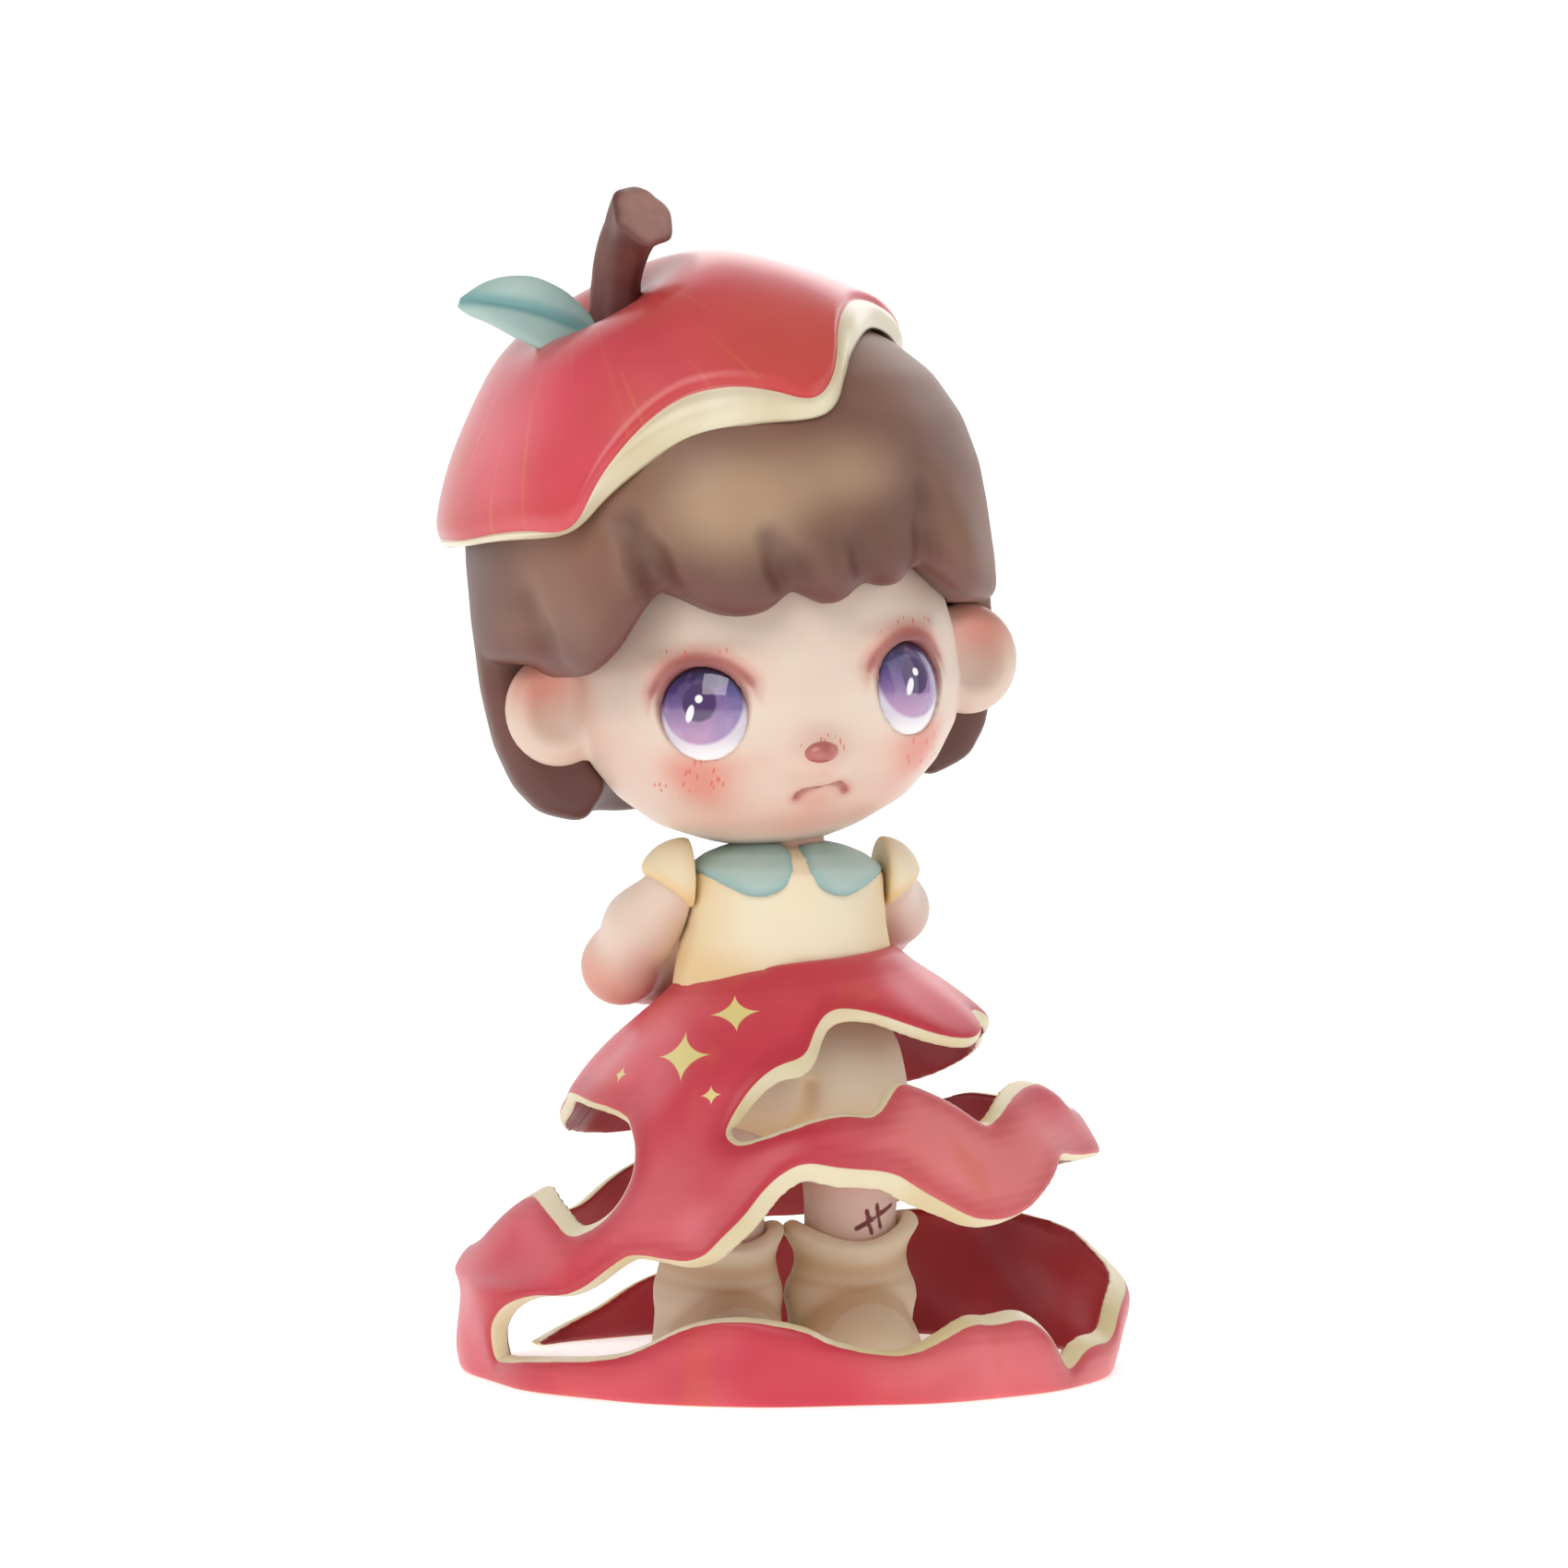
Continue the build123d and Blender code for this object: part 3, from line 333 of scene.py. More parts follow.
peel, tree, shader, place = surface("satin_painted_vinyl_peel", roughness=0.4, coat=0.12, translucent=0.04)
deep_in = attribute(tree, "deep")
up_in = attribute(tree, "up")
around_in = attribute(tree, "around")
blotch = noise(tree, place, 38.0, 3.0)
red = mix(tree, ramp(tree, blotch, 0.35, 0.68), "CF374B", "E16671")
red = mix(tree, ramp(tree, noise(tree, place, 22.0, 2.0, (1, 1, 0.6)), 0.5, 0.72, 0, 0.55), red, "E8938A")
red = mix(tree, ramp(tree, noise(tree, place, 60.0, 2.0, (3.0, 3.0, 0.25)), 0.56, 0.75, 0, 0.35), red, "D9603C")
edge_in = attribute(tree, "edge")
red = mix(tree, ramp(tree, edge_in, 0.1, 3.0, 0.55, 0.0), red, "B3202F")
# Four small yellow sparkles on the skirt.
for turn_at, up_at, half_x, half_y, lean_in in ((-125.5, 40.4, 2.9, 1.75, 2.1), (-137.5, 36.7, 3.4, 2.35, 1.6),
                                                (-159.0, 35.1, 0.85, 0.8, 1.0), (-124.0, 32.8, 1.15, 0.95, 0.6)):
    degree = float(np.interp(up_at, profile_s, profile_r)) * np.pi / 180
    y = times(tree, up_in, up_at, "SUBTRACT")
    x = times(tree, times(tree, around_in, turn_at, "SUBTRACT"), times(tree, y, lean_in), "ADD")
    x = times(tree, x, degree)
    reach_x = times(tree, times(tree, times(tree, x, half_x, "DIVIDE"), 0.0, "ABSOLUTE"), 0.6, "POWER")
    reach_y = times(tree, times(tree, times(tree, y, half_y, "DIVIDE"), 0.0, "ABSOLUTE"), 0.6, "POWER")
    star = times(tree, reach_x, reach_y, "ADD")
    red = mix(tree, ramp(tree, star, 0.97, 1.06, 1.0, 0.0), red, "E6D88C")
cream = mix(tree, ramp(tree, noise(tree, place, 90.0), 0.35, 0.7), "E9DDBD", "DCC996")
inside = mix(tree, ramp(tree, noise(tree, place, 45.0), 0.35, 0.7), "8E1720", "B02A33")
base = mix(tree, ramp(tree, deep_in, 0.33, 0.45), red, cream)
base = mix(tree, ramp(tree, up_in, 42.2, 42.5), base, red)
base = mix(tree, ramp(tree, deep_in, WALL - 0.42, WALL - 0.32), base, inside)
tree.links.new(base, shader.inputs["Base Color"])

u_index = np.clip(((around * MM_PER_DEGREE - u[0]) / STEP_U).astype(int), 0, len(u) - 1)
s_index = np.clip(np.rint((up - s[0]) / STEP_S).astype(int), 0, len(s) - 1)
to_edge = -band[u_index, s_index]
build("peel_dress", points, quads[:, ::-1], "doll", peel, ("peel_skirt", "peel_ribbon", "peel_base"),
      {"deep": deep, "up": up, "around": around, "edge": to_edge})

# ---------------------------------------------------------------- the head's frame
# Everything on the head is drawn upright about the neck joint, then leant a little to the doll's right.
TILT = radians(7.0)
NECK = np.array([-0.7, 0.0, 57.5])
HEAD_X = np.array([cos(TILT), 0, sin(TILT)])
HEAD_Z = np.array([-sin(TILT), 0, cos(TILT)])


def leant(points):
    """Head coordinates in millimetres to the doll's."""
    return NECK + points[:, :1] * HEAD_X + points[:, 1:2] * np.array([0, 1, 0]) + points[:, 2:] * HEAD_Z


# ---------------------------------------------------------------- face and ears
# Pale satin vinyl, round cheeked, with shallow sockets for the eyes, a small cast-down mouth, and soft pink
# airbrushing on cheeks, chin, ears and eyelids.
def lattice(low, high, step):
    """The grid's points as x, y, z arrays."""
    axes = [np.arange(a, b + step, step) for a, b in zip(low, high)]
    return np.meshgrid(*axes, indexing="ij")


def ball(p, centre, radii):
    """Distance to an ellipsoid, near enough."""
    d = [(a - c) for a, c in zip(p, centre)]
    k0 = np.sqrt(sum((a / r) ** 2 for a, r in zip(d, radii))) + 1e-6
    k1 = np.sqrt(sum((a / r ** 2) ** 2 for a, r in zip(d, radii))) + 1e-6
    return k0 * (k0 - 1) / k1


def rod(p, start, end, r_start, r_end):
    """Distance to a round-ended rod whose radius changes along it."""
    start, end = np.asarray(start, float), np.asarray(end, float)
    run = end - start
    share = np.clip(sum((a - s) * r for a, s, r in zip(p, start, run)) / (run @ run), 0, 1)
    gap = np.sqrt(sum((a - s - share * r) ** 2 for a, s, r in zip(p, start, run)))
    return gap - (r_start + (r_end - r_start) * share)


def turned(p, profile, centre=(0, 0), squash=1.0):
    """Distance to a turned shape with (radius, height) points; squash is its depth over its width."""
    heights = [h for r, h in profile]
    fine = np.linspace(heights[0], heights[-1], 400)
    radius = np.interp(fine, heights, [r for r, h in profile])
    kernel = np.hanning(25) / np.hanning(25).sum()
    padded = np.concatenate([2 * radius[0] - radius[12:0:-1], radius, 2 * radius[-1] - radius[-2:-14:-1]])
    radius = np.convolve(padded, kernel, "valid")
    slope = np.gradient(radius, fine)
    x, y, z = p
    reach = np.sqrt((x - centre[0]) ** 2 + ((y - centre[1]) / squash) ** 2)
    side = (reach - np.interp(z, fine, radius)) / np.sqrt(1 + np.interp(z, fine, slope) ** 2)
    return np.maximum(side, np.maximum(heights[0] - z, z - heights[-1]))


def carve(a, b, blend):
    """What is in the first shape and not in the second."""
    return -join(-a, b, blend)


def meshed(field, low, step):
    """Points and quads where a field is zero."""
    grid = openvdb.FloatGrid(background=3 * step)
    grid.copyFromArray(np.clip(field, -3 * step, 3 * step).astype(np.float32))
    points, quads = grid.convertToQuads(isovalue=0.0)
    return points * step + np.asarray(low), quads


skull = [(3.0, -0.6), (7.5, 0.4), (13.4, 3.0), (17.4, 6.6), (20.0, 10.6), (21.0, 15.2), (20.9, 20.0),
         (19.8, 27.0), (17.0, 34.0), (12.0, 40.0)]
step = 0.4
low = (-31.0, -23.5, -1.2)
p = lattice(low, (31.0, 23.0, 38.0), step)
face = turned(p, skull)
for side in (-1, 1):
    ear = ball(p, (side * 23.0, 1.0, 16.8), (5.7, 3.2, 6.1))
    ear = carve(ear, ball(p, (side * 23.5, -3.1, 17.0), (3.9, 3.0, 4.4)), 1.2)
    face = join(face, ear, 1.4)
face = join(face, ball(p, (0, -18.2, 9.0), (3.4, 3.0, 2.6)), 2.5)
EYE = radians(33.2)
EYE_HEIGHT = 15.0
eyes = {}
for side in (-1, 1):
    look = np.array([side * sin(EYE), -cos(EYE), 0])
    across = np.array([cos(EYE), side * sin(EYE), 0])
    eyes[side] = (look, across)
    along = p[0] * look[0] + p[1] * look[1]
    wide = p[0] * across[0] + p[1] * across[1]
    tall = p[2] - EYE_HEIGHT
    face = join(face, ball((wide, along, tall), (0, 12.5, -0.4), (9.6, 8.85, 9.4)), 2.0)
    face = join(face, ball((wide, along, tall), (0, 19.4, 5.4), (5.4, 1.8, 1.4)), 1.6)
    opening = np.maximum(np.hypot(wide, tall * 0.97) - 4.8, 19.0 - along)
    face = carve(face, opening, 0.35)
FAR_OFF = 9.0                          # stands for no line or mark near by
mouth = [(-1.9, 4.9), (-1.2, 5.7), (0.1, 6.35), (1.7, 6.35), (2.9, 5.7), (3.5, 4.95)]


def on_face(at_x, at_z):
    """A point on the front of the face."""
    reach = np.interp(at_z, [h for r, h in skull], [r for r, h in skull])
    return (at_x, -np.sqrt(reach ** 2 - at_x ** 2) + 0.25, at_z)


mouth = rounded(mouth, 2)
middle_of_mouth = mouth[1:-1]
for first, second in zip(middle_of_mouth[:-1], middle_of_mouth[1:]):
    face = carve(face, rod(p, on_face(*first), on_face(*second), 0.2, 0.2), 0.5)
points, quads = meshed(face, low, step)
x, y, z = points.T
blush = np.zeros(len(points))
for cx, cy, cz, size, strength in ((-12.6, -14.6, 7.4, 4.6, 0.8), (12.6, -14.6, 7.4, 4.6, 0.8),
                                   (0, -11.5, 1.2, 5.0, 0.55), (-9, -9, 1.5, 6.0, 0.4), (9, -9, 1.5, 6.0, 0.4),
                                   (0, -20, 9.5, 3.6, 0.5), (-24.5, -1.5, 20.6, 4.8, 1.0),
                                   (24.5, -1.5, 20.6, 4.8, 1.0), (-20.5, -6, 12, 5, 0.4), (20.5, -6, 12, 5, 0.4),
                                   (0.0, -15.5, 4.5, 2.6, 0.3)):
    away = ((x - cx) ** 2 + (y - cy) ** 2 + (z - cz) ** 2) / size ** 2
    blush += strength * np.exp(-away)
crease = np.full(len(points), FAR_OFF)
rim = np.full(len(points), FAR_OFF)
for side, (look, across) in eyes.items():
    wide = x * across[0] + y * across[1]
    along = x * look[0] + y * look[1]
    tall = z - EYE_HEIGHT
    facing = along > 12
    blush += 0.75 * np.exp(-((wide / 6.3) ** 2 + ((tall - 4.2) / 3.2) ** 2)) * facing
    blush += 0.35 * np.exp(-((wide / 7.0) ** 2 + ((tall + 5.6) / 2.2) ** 2)) * facing
    arc = np.abs(np.hypot(wide * 0.97, (tall + 0.9) * 0.93) - 6.3) + np.clip(2.9 - tall, 0, 9) * 0.5
    crease = np.where(facing, np.minimum(crease, arc), crease)
    ring_gap = np.abs(np.hypot(wide, tall * 0.96) - 4.9) + np.clip(1.6 - tall, 0, 9) * 0.16
    rim = np.where(facing, np.minimum(rim, ring_gap), rim)
lips = np.full(len(points), FAR_OFF)
for first, second in zip(mouth[:-1], mouth[1:]):
    lips = np.minimum(lips, rod((x, y, z), on_face(*first), on_face(*second), 0.0, 0.0))
freckle = np.zeros(len(points))
for cx, cz, rx, rz in ((-12.6, 8.3, 4.0, 2.2), (13.2, 8.3, 4.0, 2.2), (0, 10.2, 3.8, 1.3), (-12.2, 21.4, 4.4, 1.0),
                       (12.2, 21.6, 4.2, 1.0)):
    spot = np.exp(-(((x - cx) / rx) ** 2 + ((z - cz) / rz) ** 2) ** 2)
    freckle = np.maximum(freckle, spot * (y < -6))

skin, tree, shader, place = surface("satin_painted_vinyl_face", roughness=0.45, coat=0.06, translucent=0.12)
tone = mix(tree, ramp(tree, noise(tree, place, 55.0), 0.3, 0.7), "E8D5C4", "DFC8B7")
tone = mix(tree, ramp(tree, attribute(tree, "blush"), 0.03, 1.1, 0.0, 0.85), tone, "DB8574")
tone = mix(tree, ramp(tree, attribute(tree, "crease"), 0.0, 1.9, 0.55, 0.0), tone, "C25F55")
tone = mix(tree, ramp(tree, attribute(tree, "crease"), 0.0, 0.85, 0.75, 0.0), tone, "9A4B45")
tone = mix(tree, ramp(tree, attribute(tree, "rim"), 0.1, 1.0, 0.85, 0.0), tone, "7C3A3C")
tone = mix(tree, ramp(tree, attribute(tree, "lips"), 0.1, 0.75, 0.95, 0.0), tone, "8E3B38")
tone = mix(tree, ramp(tree, attribute(tree, "lips"), 0.3, 1.6, 0.35, 0.0), tone, "CF7A6C")
slant = add(tree, "ShaderNodeMapping", [("Vector", place), ("Rotation", (0, radians(28), 0)),
                                        ("Scale", (2000, 500, 560))]).outputs["Vector"]
dots = add(tree, "ShaderNodeTexVoronoi", [("Vector", slant), ("Scale", 1.0), ("Randomness", 1.0)])
stroke = times(tree, ramp(tree, dots.outputs["Distance"], 0.17, 0.3, 1.0, 0.0), attribute(tree, "freckle"))
tone = mix(tree, ramp(tree, stroke, 0.25, 0.6, 0.0, 0.75), tone, "D9604C")
tree.links.new(tone, shader.inputs["Base Color"])
build("face", leant(points), quads, "head", skin, ("head_shell", "left_ear", "right_ear"),
      {"blush": blush, "crease": crease, "rim": rim, "lips": lips, "freckle": freckle})

# ---------------------------------------------------------------- eyes
# Painted globes under polished clear domes: white below, a big violet iris that darkens towards the lid, a
# plain round pupil, and the painted white lights.
eye_paint, tree, shader, place = surface("painted_eye_under_polished_dome", roughness=0.06, coat=1.0)
shader.inputs["Coat Roughness"].default_value = 0.02
ex, ez = attribute(tree, "ex"), attribute(tree, "ez")


def round_mask(tree, at_x, at_z, size_x, size_z, soft, turn=0.0):
    """1 inside an ellipse in the eye's own plane, 0 outside it."""
    x = times(tree, ex, at_x, "SUBTRACT")
    z = times(tree, ez, at_z, "SUBTRACT")
    px = times(tree, times(tree, x, cos(turn)), times(tree, z, sin(turn)), "ADD")
    px = times(tree, px, size_x, "DIVIDE")
    pz = times(tree, times(tree, z, cos(turn)), times(tree, x, sin(turn)), "SUBTRACT")
    pz = times(tree, pz, size_z, "DIVIDE")
    reach = times(tree, times(tree, times(tree, px, px), times(tree, pz, pz), "ADD"), 0.5, "POWER")
    return ramp(tree, reach, 1.0 - soft, 1.0 + soft, 1.0, 0.0)


iris = mix(tree, ramp(tree, ez, -3.6, 2.8), "B98DB6", "5A4787")
iris = mix(tree, ramp(tree, ez, 0.8, 5.0), iris, "27254F")
iris = mix(tree, ramp(tree, times(tree, ex, times(tree, ez, 0.4), "SUBTRACT"), 0.5, 4.4, 0.0, 0.5), iris, "6C6FA8")
iris = mix(tree, ramp(tree, noise(tree, place, 500.0, 3.0), 0.45, 0.75, 0.0, 0.25), iris, "D7A9CF")
eye_white = mix(tree, ramp(tree, ez, -5.0, -2.0), "F4F1F2", "CFC6D2")
tone = mix(tree, round_mask(tree, 0.0, 1.05, 4.55, 4.3, 0.05), eye_white, iris)
tone = mix(tree, round_mask(tree, 0.0, 1.2, 1.9, 2.0, 0.1), tone, "4A2F63")
tone = mix(tree, round_mask(tree, 0.05, 1.6, 0.42, 0.42, 0.2), tone, "FFFFFF")
tone = mix(tree, round_mask(tree, -1.1, 0.15, 0.42, 0.95, 0.15, radians(-24)), tone, "F6F2FA")
lash = times(tree, ramp(tree, attribute(tree, "er"), 4.35, 4.75), ramp(tree, ez, -1.0, 2.5))
tone = mix(tree, lash, tone, "2A1A33")
tree.links.new(tone, shader.inputs["Base Color"])


def rings(rows):
    """Points and quads of a tube through rows of points, drawn together to a point at both ends."""
    rows = np.asarray(rows)
    around = rows.shape[1]
    start, end = [np.repeat(row.mean(0)[None, None], around, 1) for row in (rows[0], rows[-1])]
    rows = np.concatenate([start, rows, end])
    i, j = np.meshgrid(np.arange(len(rows) - 1), np.arange(around), indexing="ij")
    nxt = (j + 1) % around
    quads = np.stack([i * around + j, i * around + nxt, (i + 1) * around + nxt, (i + 1) * around + j], -1)
    return rows.reshape(-1, 3), quads.reshape(-1, 4)


def ringed(values):
    """A painted value for every point that rings makes, from one for each point of its rows."""
    values = np.asarray(values)
    return np.concatenate([values[:1], values, values[-1:]]).ravel()


DOME, DOME_TALL, DOME_CENTRE = 8.4, 8.55, 13.4
for side, (look, across) in eyes.items():
    bend, spin = np.meshgrid(np.radians(np.linspace(0.5, 40, 44)), np.radians(np.arange(0, 360, 5)), indexing="ij")
    ex_mm = DOME * np.sin(bend) * np.cos(spin)
    ez_mm = DOME_TALL * np.sin(bend) * np.sin(spin)
    out = DOME_CENTRE + DOME * np.cos(bend)
    rows = out[..., None] * look + ex_mm[..., None] * across + (ez_mm + EYE_HEIGHT)[..., None] * np.array([0, 0, 1])
    points, quads = rings(rows)
    ex_all, ez_all = ringed(ex_mm), ringed(ez_mm)
    name = "left" if side > 0 else "right"
    build(f"{name}_eye", leant(points), quads, "head", eye_paint,
          (f"{name}_eye_globe", f"{name}_eye_lens"),
          {"ex": ex_all, "ez": ez_all, "er": np.hypot(ex_all, ez_all)}, merged=True)

# ---------------------------------------------------------------- nose
# A small vinyl bead with glossy red-brown paint, pegged into the face, wider than it is tall.
low = (-3.2, -23.0, 6.8)
step = 0.2
p = lattice(low, (3.2, -16.5, 12.2), step)
points, quads = meshed(ball(p, (0, -20.0, 9.5), (2.1, 1.75, 1.4)), low, step)
bead, tree, shader, place = surface("gloss_painted_vinyl_nose", roughness=0.3, coat=0.5)
tone = mix(tree, ramp(tree, noise(tree, place, 300.0), 0.3, 0.7), "A9564E", "C0756A")
tree.links.new(tone, shader.inputs["Base Color"])
build("nose_bead", leant(points), quads, "head", bead, ("nose",))

# ---------------------------------------------------------------- hair
# A vinyl bob moulded in two halves: a heavy fringe of soft locks in front, and a smooth back with broad
# hand-cut planes.  Satin brown, with painted shade in the grooves and towards its lower back edge, a light
# brown painted highlight on top of the fringe, and wine at the tips.
HAIR_X, HAIR_Y = -1.1, 4.5
hair_profile = [(19.0, 4.0), (24.0, 5.6), (26.4, 9.0), (27.8, 13.6), (28.6, 20.0), (28.9, 27.5), (28.6, 33.5),
                (28.1, 38.0), (26.6, 43.2), (23.9, 48.2), (20.0, 52.2), (14.9, 55.4), (8.0, 57.6), (1.0, 58.3)]
window = np.array([(-60, -12), (-60, 22.8), (-26.5, 22.8), (-24.4, 20.6), (-22.2, 20.0), (-19.6, 22.4),
                   (-17.0, 26.2), (-14.4, 28.6), (-12.2, 27.2), (-9.4, 25.2), (-6.6, 24.5), (-4.0, 25.0),
                   (-1.4, 26.9), (0.2, 25.9), (2.0, 24.8), (3.9, 25.0), (5.8, 26.3), (7.2, 26.7), (8.8, 26.0),
                   (10.6, 26.0), (12.3, 27.5), (13.6, 27.9), (15.0, 26.4), (17.4, 24.5), (19.6, 23.4),
                   (21.2, 23.2), (23.0, 22.8), (60, 22.8), (60, -12)])
low = (-34.5, -27.5, 2.5)
step = 0.5
p = lattice(low, (30.0, 36.5, 59.5), step)
x, y, z = p
hair = turned(p, hair_profile, (HAIR_X, HAIR_Y))
bearing = np.arctan2(y - HAIR_Y, x - HAIR_X)
fade = np.clip((56 - z) / 14, 0, 1)
hair = hair + fade * (0.28 * np.sin(5 * bearing + 0.10 * z) + 0.22 * np.sin(8 * bearing - 0.16 * z + 1.3))
flat = loop_distance(x[:, 0, :], z[:, 0, :], rounded(window, 2))[:, None, :]
cut = np.maximum(np.broadcast_to(flat, hair.shape), y - 2.6)


def hair_front(at_x, at_z):
    """A point on the front of the hair."""
    wide = np.interp(at_z, [h for r, h in hair_profile], [r for r, h in hair_profile])
    return np.array([at_x, HAIR_Y - np.sqrt(wide ** 2 - (at_x - HAIR_X) ** 2), at_z])


for at_x, at_z, wide, tall, rise in ((-20.6, 26.0, 4.4, 7.5, 1.3), (-7.4, 31.0, 6.0, 6.5, 1.5),
                                     (2.9, 28.6, 3.2, 3.6, 1.0), (9.6, 29.0, 3.2, 3.4, 0.8),
                                     (18.6, 28.5, 4.0, 6.0, 0.9), (-8.0, 41.0, 8.0, 6.0, 0.7)):
    c = hair_front(at_x, at_z)
    away = ((x - c[0]) / wide) ** 2 + ((y - c[1]) / 6) ** 2 + ((z - c[2]) / tall) ** 2
    hair = hair - 1.35 * rise * np.exp(-away)
valleys = [((-14.4, 27.2), (-15.6, 31.5), (-17.2, 36.0), 2.0), ((-1.2, 25.8), (-2.6, 29.5), (-3.8, 32.5), 1.9),
           ((7.1, 25.8), (6.2, 28.5), (5.6, 30.5), 0.9), ((13.5, 27.0), (14.2, 31.0), (14.6, 35.5), 1.0),
           ((-25.4, 20.5), (-26.4, 25.0), (-27.0, 29.0), 1.0)]
for a, b, c, dip in valleys:
    for first, second, share in ((a, b, 1.0), (b, c, 0.55)):
        gap = rod(p, hair_front(*first), hair_front(*second), 0.0, 0.0)
        hair = hair + dip * share * np.exp(-(gap / 1.9) ** 2)
hair = carve(hair, cut, 2.2)
hair = carve(hair, turned(p, skull) - 0.05, 0.3)
hair = carve(hair, ball(p, (-1.5, 3.5, 1.0), (19.5, 21.0, 12.0)), 2.0)
points, quads = meshed(hair, low, step)
x, y, z = points.T
index = tuple(np.clip(np.rint((c - l) / step).astype(int), 0, n - 1) for c, l, n in zip((x, y, z), low, hair.shape))
tip = np.broadcast_to(flat, hair.shape)[index] + np.clip(y + 2, 0, 30) * 0.6
# Painted shade in the fringe's grooves: how far each point is from a groove's line.
groove_shade_gap = np.full(len(points), FAR_OFF)
for a, b, c, dip in valleys:
    groove_shade_gap = np.minimum(groove_shade_gap, rod((x, y, z), hair_front(*a), hair_front(*b), 0.0, 0.0))
    groove_shade_gap = np.minimum(groove_shade_gap, rod((x, y, z), hair_front(*b), hair_front(*c), 0.0, 0.0) + 0.5)
# Painted highlight: two broad light patches on top of the fringe.
painted_highlight = np.exp(-(((x + 7.0) / 8.5) ** 2 + ((z - 36.5) / 6.0) ** 2)) * (y < 0)
painted_highlight = painted_highlight + 0.6 * np.exp(-(((x - 7.0) / 7.0) ** 2 + ((z - 38.5) / 4.5) ** 2)) * (y < 0)

brown, tree, shader, place = surface("satin_painted_vinyl_hair", roughness=0.5, coat=0.03, translucent=0.03)
tone = mix(tree, ramp(tree, noise(tree, place, 32.0, 3.0), 0.32, 0.68), "694638", "8A6250")
tone = mix(tree, ramp(tree, noise(tree, place, 75.0, 2.0, (1, 1, 0.5)), 0.5, 0.75, 0.0, 0.35), tone, "9C7458")
# Painted highlight on top of the fringe.
tone = mix(tree, ramp(tree, attribute(tree, "painted_highlight"), 0.05, 1.0, 0.0, 0.85), tone, "B8987A")
# Painted shade in the grooves.
tone = mix(tree, ramp(tree, attribute(tree, "groove_shade"), 0.2, 3.2, 0.6, 0.0), tone, "55352B")
tone = mix(tree, ramp(tree, attribute(tree, "tip"), 0.0, 4.6, 0.8, 0.0), tone, "6A3D36")
# Painted shade: darker towards the lower edge of the bob at the back and sides.
tone = mix(tree, ramp(tree, attribute(tree, "low"), 4.0, 16.0, 0.7, 0.0), tone, "4F2E2A")
tree.links.new(tone, shader.inputs["Base Color"])
build("bob", leant(points), quads, "head", brown, ("hair_front", "hair_back"),
      {"tip": tip, "groove_shade": groove_shade_gap, "painted_highlight": painted_highlight, "low": z + np.clip(-y, 0, 40)})

# ---------------------------------------------------------------- hat of peel
# A cap of apple peel in vinyl, thick as real rind: satin red skin, glossier than the dress, with a dimple round
# the stem, and a broad slanting cream cut where the fringe shows.  Drawn as a fan of sections round the crown.
HAIR_MIDDLE_Z = 27.5
hair_middle = NECK + HEAD_X * -2.2 + np.array([0, HAIR_Y, 0]) + HEAD_Z * HAIR_MIDDLE_Z
STEM_FOOT = np.array([-18.9, 0.4, 110.6])
stem_way = STEM_FOOT - hair_middle
stem_way = stem_way / np.linalg.norm(stem_way)
red_rim = [(-180, 9.5), (-171, 9.0), (-163, 9.4), (-155, 10.2), (-145, 10.4), (-138, 9.5), (-134, 10.3),
           (-131.5, 13), (-129, 19.5), (-125, 25.9), (-120, 31.8), (-114, 36.2), (-108, 38.1), (-100, 38.9),
           (-91, 37.4), (-86, 35.8), (-82, 36.2), (-78, 39.5), (-74, 45.5), (-70, 52), (-62, 58), (-48, 62.5),
           (-30, 63), (-15, 60), (0, 56), (25, 47), (50, 36), (75, 26), (100, 19), (130, 13), (155, 10),
           (180, 9.5)]
cream_rim = [(-180, 8.2), (-168, 8.0), (-155, 8.8), (-142, 9.0), (-137, 9.6), (-133, 11.5), (-128, 17.5),
             (-120, 24.2), (-114, 27.8), (-107, 30.2), (-96, 32.2), (-85, 32.8), (-79, 34.2), (-75, 37.5),
             (-72, 42), (-64, 50), (-48, 57), (-30, 59.5), (-15, 57.5), (0, 54), (25, 45), (50, 34), (75, 24),
             (100, 17.5), (130, 11.8), (155, 8.6), (180, 8.2)]


def around_rim(table, at):
    """A smooth closed line through (bearing, elevation) points."""
    line = rounded(table, 2)
    return np.interp(at, line[:, 0], line[:, 1])


bearing = np.arange(-180, 180, 1.0)
red_at, cream_at = around_rim(red_rim, bearing), around_rim(cream_rim, bearing)


def outward(azimuth, elevation):
    """The direction at these angles, in radians."""
    flat_share = np.cos(elevation)
    return np.stack([flat_share * np.cos(azimuth), flat_share * np.sin(azimuth), np.sin(elevation)], -1)


def hat_reach(azimuth, elevation):
    """How far the hat's skin is from the middle of the hair, in a direction."""
    d = outward(azimuth, elevation)
    centre = np.array([0.5, 0.0, 1.9])
    size = np.array([32.3, 32.3, 34.3])
    a = ((d / size) ** 2).sum(-1)
    b = (d * centre / size ** 2).sum(-1)
    c = ((centre / size) ** 2).sum() - 1
    far = (b + np.sqrt(b * b - a * c)) / a
    off = np.degrees(np.arccos(np.clip(d @ stem_way, -1, 1)))
    far = far - 3.6 * np.exp(-(off / 9.5) ** 2) + 0.9 * np.exp(-((off - 21) / 9.0) ** 2)
    ridge = (0.3 * np.sin(5 * azimuth + 0.6) + 0.2 * np.sin(8 * azimuth + 4 * elevation)) * np.cos(elevation) ** 2
    return far + ridge, d


